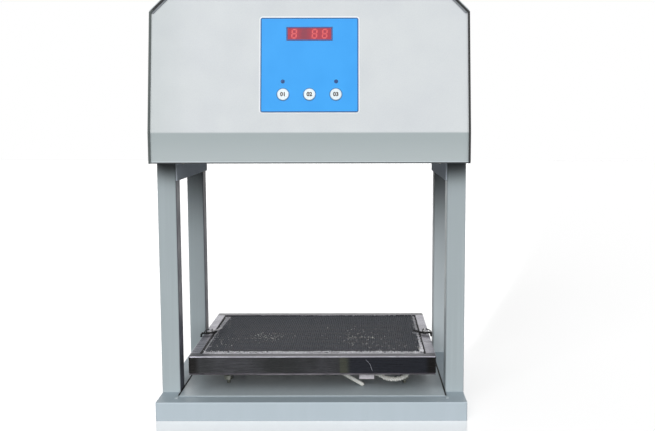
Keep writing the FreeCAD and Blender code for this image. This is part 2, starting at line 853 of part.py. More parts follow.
def head_cover():
    """Wrap cover: sides, cut-off corners and top in one bent sheet, with in-turned bottom flanges."""
    outer = head_section(0, head_bottom, front, rear, 2 * fold_radius)
    outer = outer.common(head_side(0, head_bottom, overall_height, rear))
    inner = head_section(sheet, head_bottom + sheet, front - overrun, rear + overrun,
                         2 * fold_radius - sheet)
    low = head_bottom - overrun
    high = head_bottom + 2 * sheet
    flange_x = half_width - head_flange
    middle = block(-flange_x, flange_x, front - overrun, rear + overrun, low, high)
    wide = half_width - sheet
    near = block(-wide, wide, front - overrun, front + panel_recess + return_flange + fit_gap, low, high)
    far = block(-wide, wide, rear_inside - return_flange - fit_gap, rear + overrun, low, high)
    holes = screw_holes(tube_plate_screw_places(), -Z_AXIS) + screw_holes(rail_screw_places(), Z_AXIS)
    return outer.cut([inner, middle, near, far, top_opening()] + holes)


def top_opening():
    """Opening in the cover's top above the tube plate."""
    opening = centred(0, 0, overall_height - overrun, top_opening_x, top_opening_y, 2 * overrun)
    return round_edges(opening, top_corner, Z_AXIS)


def tube_places(z):
    """Middles of the holes for the condenser tubes."""
    places = []
    for i in range(tube_columns):
        for j in range(tube_rows):
            places.append(Vec((i - (tube_columns - 1) / 2) * tube_pitch_x,
                              (j - (tube_rows - 1) / 2) * tube_pitch_y, z))
    return places


def tube_holes(z):
    """Cutters for the tube holes of a plate near height z."""
    return [rod(tube_hole_radius, 4 * overrun, place) for place in tube_places(z - 2 * overrun)]


def tube_plate():
    """Plate with the tube holes, screwed below the opening in the cover's top."""
    z = overall_height - 2 * sheet
    wide = top_opening_x + 2 * tube_plate_border
    deep = top_opening_y + 2 * tube_plate_border
    plate = round_edges(centred(0, 0, z, wide, deep, sheet), top_corner, Z_AXIS)
    return plate.cut(tube_holes(z) + screw_holes(tube_plate_screw_places(), -Z_AXIS))


def tube_plate_screw_places():
    """Screws through the cover's top into the tube plate's border."""
    x = top_opening_x / 2 + tube_plate_border / 2
    y = top_opening_y / 2 + tube_plate_border / 2
    places = [Vec(x * i, y * j, overall_height) for i in (-1, 1) for j in (-1, 1)]
    return places + [Vec(0, y * j, overall_height) for j in (-1, 1)]


def on_panel(shape, x, up, out):
    """Place a shape made about its own origin on the leaning panel.

    Its Z then points out of the panel and its Y up the lean; up is measured from the
    band's top edge and out from the panel's outer face.
    """
    normal = Vec(0, -math.cos(lean_angle), math.sin(lean_angle))
    climb = Vec(0, math.sin(lean_angle), math.cos(lean_angle))
    bend = front_line(panel_recess, head_bottom, overall_height)[1]
    turn = FreeCAD.Rotation(X_AXIS, climb, normal, "XYZ")
    return put(shape, bend + X_AXIS * x + climb * up + normal * out, turn)


def disc(x, up, out, radius, length):
    """Round bar square to the panel, from out inwards by length."""
    return on_panel(rod(radius, length, Vec(0, 0, -length)), x, up, out)


def slab(x, up, out, width, height, thickness, corner=0):
    """Plate parallel to the panel, from out inwards by thickness."""
    plate = centred(0, 0, -thickness, width, height, thickness)
    if corner:
        plate = round_edges(plate, corner, Z_AXIS)
    return on_panel(plate, x, up, out)


def button_x(k):
    """X place of button k, counted from the left."""
    return (k - 1) * button_pitch


def panel_cuts():
    """Holes through the panel for the buttons, the lamps and the display."""
    through = sheet + 2 * overrun
    cuts = [disc(button_x(k), button_centre, overrun, button_radius + button_gap, through)
            for k in range(3)]
    cuts += [disc(x, lamp_centre, overrun, lamp_radius + lamp_gap, through)
             for x in (-lamp_offset, lamp_offset)]
    cuts.append(slab(0, window_centre, overrun, window_width, window_height, through))
    return cuts


def front_panel():
    """Front panel: upright band and leaning panel in one bend, with a return under the head."""
    high = overall_height - sheet - fit_gap
    outer = head_side(panel_recess, head_bottom, high, wall_front)
    outer = round_edges(outer, fold_radius, X_AXIS,
                        lambda c: c.z < head_bottom + sheet and c.y < front + panel_inner)
    inner = head_side(panel_inner, head_bottom + sheet, high + overrun, wall_front + overrun)
    inner = round_edges(inner, fold_radius - sheet, X_AXIS,
                        lambda c: c.z < head_bottom + 2 * sheet and c.y < front + panel_inner + sheet)
    back = front + panel_recess + return_flange
    beyond = block(-half_width, half_width, back, rear, head_bottom - overrun, head_bottom + sheet)
    shell = outer.cut([inner, beyond])
    outline = head_section(sheet + fit_gap, head_bottom, front, rear, 2 * fold_radius - sheet)
    return shell.common(outline).cut(panel_cuts())


def head_bottom_plate():
    """Floor of the head, lying on the flanges, with the tube holes."""
    wide = half_width - sheet - fit_gap
    y0 = front + panel_recess + fold_radius + fit_gap
    plate = block(-wide, wide, y0, rear_inside - fit_gap, head_bottom + sheet, head_floor)
    return plate.cut(tube_holes(head_bottom) + screw_holes(rail_screw_places(), Z_AXIS))


def inner_wall():
    """Wall between the electronics and the tube space, with a foot on the head's floor."""
    outline = head_section(sheet + fit_gap, head_floor, wall_front, wall_rear, 2 * fold_radius - sheet)
    wide = half_width - sheet - fit_gap
    foot = block(-wide, wide, wall_front - return_flange, wall_rear, head_floor, head_floor + sheet)
    return outline.fuse(foot).removeSplitter()


def rear_panel():
    """Flat rear panel with fan holes and cut-outs, and a return under the head."""
    plate = head_section(sheet + fit_gap, head_bottom, rear_inside, rear_face, 2 * fold_radius - sheet)
    wide = half_width - sheet - fit_gap
    flange = block(-wide, wide, rear_inside - return_flange, rear_inside, head_bottom, head_bottom + sheet)
    clear = fit_gap / 2
    cuts = []
    for x in (-fan_x, fan_x):
        cuts.append(rod(fan_bore_radius, 4 * overrun, Vec(x, rear_inside - overrun, fan_z), Y_AXIS))
        cuts += [rod(fan_hole_radius, 4 * overrun, Vec(p.x, rear_inside - overrun, p.z), Y_AXIS)
                 for p in fan_holes(x)]
    for x, z, width, height in ((inlet_x, inlet_z, inlet_body_width, inlet_body_height),
                                (switch_x, switch_z, switch_body_width, switch_body_height)):
        cuts.append(rear_block(x, z, width + 2 * clear, height + 2 * clear))
    cuts.append(rod(fuse_radius + clear, 4 * overrun, Vec(fuse_x, rear_inside - overrun, inlet_z), Y_AXIS))
    cuts += screw_holes(inlet_screw_places(), -Y_AXIS)
    return plate.fuse(flange).removeSplitter().cut(cuts)


def rear_block(x, z, width, height):
    """Cutter for a rectangular cut-out in the rear panel."""
    return block(x - width / 2, x + width / 2, rear_inside - overrun, rear_face + overrun,
                 z - height / 2, z + height / 2)


def keypad_overlay():
    """Blue overlay on the leaning panel."""
    middle = (keypad_low + keypad_high) / 2
    sheet_solid = slab(0, middle, keypad_thickness, keypad_width, keypad_high - keypad_low,
                       keypad_thickness, keypad_corner)
    return sheet_solid.cut(panel_cuts())


def display_window():
    """Tinted window that fills the cut-out in front of the digits."""
    thickness = keypad_thickness + window_proud + sheet - fit_gap / 3
    return slab(0, window_centre, keypad_thickness + window_proud, window_width - fit_gap,
                window_height - fit_gap, thickness)


def button(k):
    """Round key cap with a retaining flange and a stem behind the panel."""
    x = button_x(k)
    crown = keypad_thickness + button_proud
    cap = rod(button_radius, crown + sheet + button_gap, Vec(0, 0, -crown - sheet - button_gap))
    rim = [e for e in cap.Edges if is_rim(e, Vec(0, 0, 0))]
    cap = on_panel(cap.makeChamfer(button_edge, rim), x, button_centre, crown)
    behind = sheet + button_gap
    flange = disc(x, button_centre, -behind, button_radius + button_flange, button_flange_thickness)
    back = behind + button_flange_thickness
    stem = disc(x, button_centre, -back + fit_gap, stem_radius, stem_back() - back + fit_gap)
    return fuse_all([cap, flange, stem])


def stem_back():
    """Depth of the stem's end behind the panel's outer face."""
    return board_depth - switch_depth - plunger_length - button_travel - fit_gap / 3


def key_switches():
    """Key switches on the display board, one behind each button."""
    made = []
    for k in range(3):
        body = slab(button_x(k), button_centre, -board_depth + switch_depth, switch_side, switch_side,
                    switch_depth)
        plunger = disc(button_x(k), button_centre, -board_depth + switch_depth + plunger_length,
                       plunger_radius, plunger_length)
        made.append(body.fuse(plunger))
    return made


def indicator_lamps():
    """Two round lamps whose domes look out of the overlay."""
    made = []
    for x in (-lamp_offset, lamp_offset):
        body = disc(x, lamp_centre, 0, lamp_radius, lamp_length)
        dome = on_panel(Part.makeSphere(lamp_radius), x, lamp_centre, 0)
        rim = disc(x, lamp_centre, -lamp_length + lamp_rim * 2, lamp_radius + lamp_rim, lamp_rim * 2)
        pins = [disc(x + side * lamp_radius / 2, lamp_centre, -lamp_length + lamp_rim, pin_radius,
                     board_depth - lamp_length + lamp_rim) for side in (-1, 1)]
        made.append(fuse_all([body, dome, rim] + pins))
    return made


def display_module():
    """Four-digit display module with its socket."""
    face = sheet + fit_gap
    module = slab(0, window_centre, -face, module_width, module_height, module_depth)
    socket = slab(0, window_centre, -face - module_depth, socket_width, socket_height,
                  board_depth - face - module_depth)
    return module.fuse(socket)


def display_board():
    """Circuit board parallel to the panel."""
    middle = (board_low + board_high) / 2
    return slab(0, middle, -board_depth, board_width, board_high - board_low, board_thickness)


def board_spacers():
    """Spacers between the panel and the display board's corners."""
    made = []
    for side in (-1, 1):
        for up in (board_low + spacer_inset, board_high - spacer_inset):
            x = side * (board_width / 2 - spacer_inset)
            made.append(disc(x, up, -sheet, spacer_radius, board_depth - sheet))
    return made


def control_board():
    """Control board on four standoffs on the inner wall's front."""
    z0 = head_floor + control_board_lift
    y0 = board_face
    x0 = control_board_x - control_board_width / 2
    board = block(x0, x0 + control_board_width, y0, y0 + board_thickness, z0, z0 + control_board_height)
    legs = [rod(spacer_radius, standoff_length, Vec(x0 + dx, y0 + board_thickness, z0 + dz), Y_AXIS)
            for dx in (spacer_inset, control_board_width - spacer_inset)
            for dz in (spacer_inset, control_board_height - spacer_inset)]
    return fuse_all([board] + legs)


def heater_relay():
    """Relay that switches the heater, standing off the control board."""
    z0 = head_floor + control_board_lift + relay_rise
    return block(relay_x - relay_width / 2, relay_x + relay_width / 2, board_face - relay_depth, board_face,
                 z0, z0 + relay_height)


def terminal_strip():
    """Screw terminals along the lower edge of the control board."""
    z0 = head_floor + control_board_lift + strip_rise
    x0 = strip_x - strip_width / 2
    y0 = board_face - strip_depth
    body = block(x0, x0 + strip_width, y0, board_face, z0, z0 + strip_height)
    pitch = strip_width / strip_ways
    wells = []
    for k in range(strip_ways):
        place = Vec(x0 + (k + 0.5) * pitch, y0, z0 + strip_height / 2)
        wells.append(rod(strip_screw_radius, strip_depth / 2, place, Y_AXIS))
    return body.cut(wells)


def transformer():
    """Small mains transformer with its winding, standing on the head's floor."""
    y = front + panel_inner + transformer_setback + transformer_depth / 2
    core = centred(transformer_x, y, head_floor, transformer_width, transformer_depth, transformer_height)
    windows = []
    for side in (-1, 1):
        x = transformer_x + side * winding_width / 4
        windows.append(block(x - core_window / 2, x + core_window / 2, y - transformer_depth,
                             y + transformer_depth, head_floor + core_window,
                             head_floor + transformer_height - core_window))
    winding = centred(transformer_x, y, head_floor + core_window, winding_width + core_window / 2,
                      transformer_depth + 2 * winding_bulge, transformer_height - 2 * core_window)
    winding = round_edges(winding, winding_bulge, Z_AXIS)
    return fuse_all([core.cut(windows), winding])


def fan_holes(x):
    """Corner holes of one fan."""
    half = fan_hole_pitch / 2
    return [Vec(x + i * half, 0, fan_z + j * half) for i in (-1, 1) for j in (-1, 1)]


def fan_frame(x):
    """Square fan housing with a round bore, a motor plate on struts and a bearing."""
    y1 = rear_inside
    y0 = y1 - fan_depth
    body = block(x - fan_side / 2, x + fan_side / 2, y0, y1, fan_z - fan_side / 2, fan_z + fan_side / 2)
    body = round_edges(body, fan_corner, Y_AXIS)
    bore = rod(fan_bore_radius, fan_depth + 2 * overrun, Vec(x, y0 - overrun, fan_z), Y_AXIS)
    holes = [rod(fan_hole_radius, fan_depth + 2 * overrun, Vec(p.x, y0 - overrun, p.z), Y_AXIS)
             for p in fan_holes(x)]
    body = body.cut([bore] + holes)
    plate = rod(motor_radius, motor_plate, Vec(x, y1 - motor_plate, fan_z), Y_AXIS)
    bearing = rod(bearing_radius, bearing_length, Vec(x, y1 - bearing_length, fan_z), Y_AXIS)
    struts = []
    for k in range(3):
        arm = block(0, fan_bore_radius + fold_radius, -motor_plate, 0, -strut_width / 2, strut_width / 2)
        struts.append(put(arm, Vec(x, y1, fan_z), FreeCAD.Rotation(Y_AXIS, 90 + 120 * k)))
    shaft_bore = rod(shaft_radius + shaft_clearance, fan_depth, Vec(x, y0, fan_z), Y_AXIS)
    return fuse_all([body, plate, bearing] + struts).cut(shaft_bore)


def blade_section(radius, chord, angle):
    """Cambered section of a fan blade, square to the blade's length at radius."""
    half = chord / 2
    thick = blade_thickness / 2
    bow = chord * blade_camber_share
    lower = Part.Arc(Vec(radius, -half, -thick), Vec(radius, 0, bow - thick), Vec(radius, half, -thick))
    upper = Part.Arc(Vec(radius, half, thick), Vec(radius, 0, bow + thick), Vec(radius, -half, thick))
    ends = [Part.LineSegment(Vec(radius, half, -thick), Vec(radius, half, thick)),
            Part.LineSegment(Vec(radius, -half, thick), Vec(radius, -half, -thick))]
    wire = Part.Wire([lower.toShape(), ends[0].toShape(), upper.toShape(), ends[1].toShape()])
    wire.rotate(Vec(0, 0, 0), X_AXIS, angle)
    return wire


def blade(k):
    """One twisted fan blade from inside the hub's wall to past the fan's bore."""
    root = blade_section(hub_radius - blade_root_depth, blade_root_chord, blade_root_angle)
    tip = blade_section(fan_bore_radius, blade_tip_chord, blade_tip_angle)
    solid = Part.makeLoft([root, tip], True, True)
    return put(solid, Vec(0, hub_depth / 2, 0), FreeCAD.Rotation(Y_AXIS, 360.0 * k / blade_count))


def fan_wheel():
    """Cup hub with twisted blades, its open end towards the motor plate."""
    hub = rod(hub_radius, hub_depth, Vec(0, 0, 0), Y_AXIS)
    cup = rod(hub_radius - hub_wall, hub_depth, Vec(0, hub_wall, 0), Y_AXIS)
    sweep = rod(fan_bore_radius - blade_gap, hub_depth, Vec(0, 0, 0), Y_AXIS)
    blades = [blade(k).common(sweep) for k in range(blade_count)]
    return fuse_all([hub] + blades).cut(cup)


def fan_rotor(x):
    """Fan rotor: its wheel and a shaft that runs in the frame's bearing."""
    y0 = rear_inside - motor_plate - running_gap - hub_depth
    reach = fan_depth - motor_plate - running_gap - (fan_depth - hub_depth) / 2
    shaft = rod(shaft_radius, reach, Vec(0, hub_wall / 2, 0), Y_AXIS)
    return put(fuse_all([fan_wheel(), shaft]), Vec(x, y0, fan_z))


def fan_guard(x):
    """Stamped finger guard outside the rear panel, with rings of slots."""
    y0 = rear_face
    plate = block(x - fan_side / 2, x + fan_side / 2, y0, y0 + guard_thickness,
                  fan_z - fan_side / 2, fan_z + fan_side / 2)
    plate = round_edges(plate, fan_corner, Y_AXIS)
    cuts = []
    start = Vec(x, y0 - overrun, fan_z)
    span = guard_thickness + 2 * overrun
    bars = []
    for turn in (45, 135):
        bar = block(-fan_side, fan_side, 0, span, -guard_bar / 2, guard_bar / 2)
        bars.append(put(bar, start, FreeCAD.Rotation(Y_AXIS, turn)))
    for ring in range(guard_rings):
        low = guard_centre_radius + ring * (guard_slot + guard_bar)
        slot = rod(low + guard_slot, span, start, Y_AXIS).cut(rod(low, span, start, Y_AXIS))
        cuts.append(slot.cut(bars))
    holes = [rod(fan_hole_radius, span, Vec(p.x, y0 - overrun, p.z), Y_AXIS) for p in fan_holes(x)]
    return plate.cut(cuts + holes)


def fan_screws():
    """Long screws through the guard, the panel and the fan's corners."""
    made = []
    reach = guard_thickness + sheet + fan_depth
    for x in (-fan_x, fan_x):
        for place in fan_holes(x):
            seat = Vec(place.x, rear_face + guard_thickness, place.z)
            head = rod(screw_head_radius + fit_gap, screw_head_height, seat, Y_AXIS)
            shank = rod(screw_radius + screw_clearance, reach, seat - Y_AXIS * reach, Y_AXIS)
            made.append(head.fuse(shank))
    return made


def inlet_screw_places():
    """Screws that hold the power inlet's flange."""
    y = rear_face + inlet_flange_thickness
    return [Vec(inlet_x + side * inlet_screw_pitch / 2, y, inlet_z) for side in (-1, 1)]


def inlet_cavity():
    """Cavity of the inlet, with its two upper corners cut."""
    wide = inlet_cavity_width / 2
    high = inlet_cavity_height / 2
    y = rear_face + inlet_flange_thickness + overrun
    depth = inlet_cavity_depth + overrun
    outline = [Vec(-wide, 0, -high), Vec(wide, 0, -high), Vec(wide, 0, high - inlet_cavity_cut),
               Vec(wide - inlet_cavity_cut, 0, high), Vec(-wide + inlet_cavity_cut, 0, high),
               Vec(-wide, 0, high - inlet_cavity_cut)]
    return prism([p + Vec(inlet_x, y, inlet_z) for p in outline], Y_AXIS * -depth)


def power_inlet():
    """Three-pin power inlet with a screwed flange."""
    y1 = rear_face + inlet_flange_thickness
    flange = block(inlet_x - inlet_flange_width / 2, inlet_x + inlet_flange_width / 2, rear_face, y1,
                   inlet_z - inlet_flange_height / 2, inlet_z + inlet_flange_height / 2)
    flange = round_edges(flange, inlet_flange_corner, Y_AXIS)
    body = block(inlet_x - inlet_body_width / 2, inlet_x + inlet_body_width / 2, y1 - inlet_body_depth, y1,
                 inlet_z - inlet_body_height / 2, inlet_z + inlet_body_height / 2)
    pins = [pin.copy() for pin in inlet_pins()]
    return flange.fuse(body).cut([inlet_cavity()] + pins + screw_holes(inlet_screw_places(), -Y_AXIS))


def inlet_pins():
    """Three flat pins, seated in the inlet's back wall."""
    floor = rear_face + inlet_flange_thickness - inlet_cavity_depth
    back = floor - (inlet_body_depth - inlet_cavity_depth) - inlet_pin_tail
    half = inlet_pin_height / 2
    made = []
    for dx, dz in ((-inlet_pin_spacing, -inlet_pin_drop / 2), (0, inlet_pin_drop / 2),
                   (inlet_pin_spacing, -inlet_pin_drop / 2)):
        x = inlet_x + dx
        z = inlet_z + dz
        made.append(block(x - half, x + half, back, floor + inlet_pin_length,
                          z - inlet_pin_width / 2, z + inlet_pin_width / 2))
    return made


def fuse_holder():
    """Round fuse holder with a slotted cap."""
    seat = Vec(fuse_x, rear_face, inlet_z)
    flange = rod(fuse_flange_radius, fuse_flange_thickness, seat, Y_AXIS)
    cap = rod(fuse_cap_radius, fuse_cap_length, seat, Y_AXIS)
    body = rod(fuse_radius, fuse_body_length, seat - Y_AXIS * fuse_body_length, Y_AXIS)
    slot = block(fuse_x - fuse_cap_radius, fuse_x + fuse_cap_radius,
                 rear_face + fuse_cap_length - fuse_slot, rear_face + fuse_cap_length + overrun,
                 inlet_z - fuse_slot / 2, inlet_z + fuse_slot / 2)
    return fuse_all([flange, cap, body]).cut(slot)


def rocker_housing():
    """Snap-in housing of the main switch, with a well and two pin holes for the rocker."""
    y1 = rear_face + switch_flange_thickness
    flange = block(switch_x - switch_flange_width / 2, switch_x + switch_flange_width / 2, rear_face, y1,
                   switch_z - switch_flange_height / 2, switch_z + switch_flange_height / 2)
    flange = round_edges(flange, switch_flange_corner, Y_AXIS)
    body = block(switch_x - switch_body_width / 2, switch_x + switch_body_width / 2,
                 rear_face - switch_body_depth, rear_face,
                 switch_z - switch_body_height / 2, switch_z + switch_body_height / 2)
    well_x = rocker_width / 2 + rocker_gap
    well_z = rocker_half_length + 2 * rocker_gap
    well = block(switch_x - well_x, switch_x + well_x, rear_face - rocker_root_radius - 2 * rocker_gap,
                 y1 + overrun, switch_z - well_z, switch_z + well_z)
    pin = rod(rocker_pin_radius + rocker_pin_gap, rocker_width + 2 * rocker_gap + 2 * rocker_pin_reach,
              Vec(switch_x - well_x - rocker_pin_reach, rear_face, switch_z), X_AXIS)
    return flange.fuse(body).cut([well, pin])


def rocker_switch():
    """Rocker with a shallow valley, tipped to its off side, on a cross pin."""
    half = rocker_half_length
    left = switch_x - rocker_width / 2
    outline = [Vec(left, rocker_height, -half), Vec(left, rocker_valley, 0), Vec(left, rocker_height, half),
               Vec(left, 0, half), Vec(left, 0, -half)]
    cap = prism(outline, X_AXIS * rocker_width)
    root = rod(rocker_root_radius, rocker_width, Vec(left, 0, 0), X_AXIS)
    pin = rod(rocker_pin_radius, rocker_width + 2 * rocker_gap + 2 * rocker_pin_reach - fit_gap,
              Vec(left - rocker_gap - rocker_pin_reach + fit_gap / 2, 0, 0), X_AXIS)
    rocker = fuse_all([cap, root, pin])
    rocker.rotate(Vec(0, 0, 0), X_AXIS, -rocker_tilt)
    rocker.translate(Vec(0, rear_face, switch_z))
    return rocker


def make_base():
    """Base pan, its bottom plate, the deck and what passes through it."""
    save("base_pan", base_pan())
    save("base_bottom_plate", base_bottom_plate())
    save("deck_plate", deck_plate())
    save("deck_screws", *screws(deck_screw_places(), -Z_AXIS))
    save("lead_grommet", lead_grommet())


def make_frame():
    """Posts and side rails."""
    for side, side_name in ((-1, "left"), (1, "right")):
        for end, end_name in ((-1, "front"), (1, "rear")):
            save("post_" + end_name + "_" + side_name, post(side, end))
    rail = side_rail()
    save("side_rail_left", rail)
    save("side_rail_right", mirrored(rail))
    save("rail_screws", *screws(rail_screw_places(), Z_AXIS))


def make_tray():
    """Heating tray, its studs, its ties and its wiring."""
    save("tray_frame", tray_frame())
    save("tray_floor", tray_floor())
    save("tray_studs", *[tray_stud(place) for place in stud_places()])
    save("insulation_board", insulation_board())
    save("heater_element", heater_element())
    save("wire_gauze", wire_gauze())
    tie = gauze_tie()
    save("gauze_tie_left", *tie)
    save("gauze_tie_right", *[mirrored(piece) for piece in tie])
    save("terminal_block", terminal_block())
    save("terminal_screws", *terminal_screws())
    save("heater_lead", heater_lead())
    save("supply_lead", supply_lead())
    save("sleeve_end", sleeve_end())


def make_head():
    """Shells and plates of the head."""
    save("head_cover", head_cover())
    save("front_panel", front_panel())
    save("head_bottom_plate", head_bottom_plate())
    save("rear_panel", rear_panel())
    save("tube_plate", tube_plate())
    save("tube_plate_screws", *screws(tube_plate_screw_places(), -Z_AXIS))
    save("inner_wall", inner_wall())


def make_keypad():
    """Overlay, display, lamps, buttons and the board behind them."""
    save("keypad_overlay", keypad_overlay())
    save("display_window", display_window())
    for k, place in enumerate(("left", "middle", "right")):
        save("button_" + place, button(k))
    save("key_switches", *key_switches())
    save("indicator_lamps", *indicator_lamps())
    save("display_module", display_module())
    save("display_board", display_board())
    save("board_spacers", *board_spacers())


def make_electronics():
    """Parts on the inner wall and on the head's floor."""
    save("control_board", control_board())
    save("heater_relay", heater_relay())
    save("terminal_strip", terminal_strip())
    save("transformer", transformer())


def make_rear():
    """Fans, power inlet, fuse holder and main switch."""
    for x, name in ((-fan_x, "left"), (fan_x, "right")):
        save("fan_frame_" + name, fan_frame(x))
        save("fan_rotor_" + name, fan_rotor(x))
        save("fan_guard_" + name, fan_guard(x))
    save("fan_screws", *fan_screws())
    save("power_inlet", power_inlet())
    save("inlet_pins", *inlet_pins())
    save("inlet_screws", *screws(inlet_screw_places(), -Y_AXIS))
    save("fuse_holder", fuse_holder())
    save("rocker_housing", rocker_housing())
    save("rocker_switch", rocker_switch())


def main():
    """Make every piece and write one file for each."""
    os.makedirs("parts", exist_ok=True)
    for make in (make_base, make_frame, make_tray, make_head, make_keypad, make_electronics, make_rear):
        make()
    for name, shape in exports.items():
        shape.exportStep("parts/" + name + ".step")
    print(len(exports), "pieces")


main()
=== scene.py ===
import json
import logging
import math
import random
from abc import ABC, abstractmethod
from dataclasses import dataclass, field, replace
from enum import Enum
from typing import Any, Sequence

import bmesh
import bpy
from mathutils import Matrix, Vector

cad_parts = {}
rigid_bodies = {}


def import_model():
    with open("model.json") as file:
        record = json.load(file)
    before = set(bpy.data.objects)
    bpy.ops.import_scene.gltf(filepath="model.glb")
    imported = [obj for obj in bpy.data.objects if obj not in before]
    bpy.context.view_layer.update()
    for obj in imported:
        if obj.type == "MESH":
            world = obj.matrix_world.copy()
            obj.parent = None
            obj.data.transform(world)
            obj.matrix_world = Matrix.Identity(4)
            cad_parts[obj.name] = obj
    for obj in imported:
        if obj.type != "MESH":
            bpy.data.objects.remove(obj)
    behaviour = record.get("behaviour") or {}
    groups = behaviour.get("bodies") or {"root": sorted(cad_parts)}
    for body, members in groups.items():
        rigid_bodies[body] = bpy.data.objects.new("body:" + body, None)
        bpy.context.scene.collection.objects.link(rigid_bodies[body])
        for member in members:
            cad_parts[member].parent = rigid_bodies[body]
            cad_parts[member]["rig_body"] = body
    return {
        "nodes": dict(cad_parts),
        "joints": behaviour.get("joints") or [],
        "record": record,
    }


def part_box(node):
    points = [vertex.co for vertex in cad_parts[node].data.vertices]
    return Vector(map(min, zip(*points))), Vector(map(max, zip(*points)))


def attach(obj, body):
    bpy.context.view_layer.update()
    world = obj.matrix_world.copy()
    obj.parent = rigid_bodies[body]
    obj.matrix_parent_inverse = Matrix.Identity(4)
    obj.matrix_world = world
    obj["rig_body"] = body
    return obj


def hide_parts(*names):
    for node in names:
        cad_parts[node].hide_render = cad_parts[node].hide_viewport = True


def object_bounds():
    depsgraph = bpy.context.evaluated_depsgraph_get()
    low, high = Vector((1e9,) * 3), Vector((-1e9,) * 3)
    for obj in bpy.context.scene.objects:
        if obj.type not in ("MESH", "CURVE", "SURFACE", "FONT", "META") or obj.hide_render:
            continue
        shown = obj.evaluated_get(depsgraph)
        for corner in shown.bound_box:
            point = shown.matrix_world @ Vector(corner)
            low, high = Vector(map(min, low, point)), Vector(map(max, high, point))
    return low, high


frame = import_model()
cad_low, cad_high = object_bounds()

log = logging.getLogger("reactor")

Colour = tuple[float, float, float]
Point = tuple[float, float, float]
Pair = tuple[float, float]
Line = Sequence[Vector]
Route = Sequence[Point]
Material = bpy.types.Material
Socket = bpy.types.NodeSocket
Thing = bpy.types.Object

RIGHT, BACK, UP = (Vector([float(row == axis) for row in range(3)]) for axis in range(3))
QUARTER = math.pi / 2
ACROSS, ALONG, HEIGHT = range(3)
WHITE: Colour = (1.0, 1.0, 1.0)
EVEN: Point = (1.0, 1.0, 1.0)
EDGE_COSINES: Pair = (0.98, 0.8)
LUMP_REACH: Pair = (0.6, 1.25)
WELD = 1e-6


class Side(Enum):
    """The two sides of the object, seen from the front."""

    LEFT = -1.0
    RIGHT = 1.0


def tone(red: int, green: int, blue: int) -> Colour:
    """Turns a colour as seen on a screen, 0 to 255 each, into the linear one that nodes take.

    Args:
        red: The red share.
        green: The green share.
        blue: The blue share.

    Returns:
        The three linear shares, 0 to 1.
    """
    def linear(value: int) -> float:
        """One share of the colour."""
        share = value / 255
        return share / 12.92 if share <= 0.04045 else ((share + 0.055) / 1.055) ** 2.4

    return linear(red), linear(green), linear(blue)


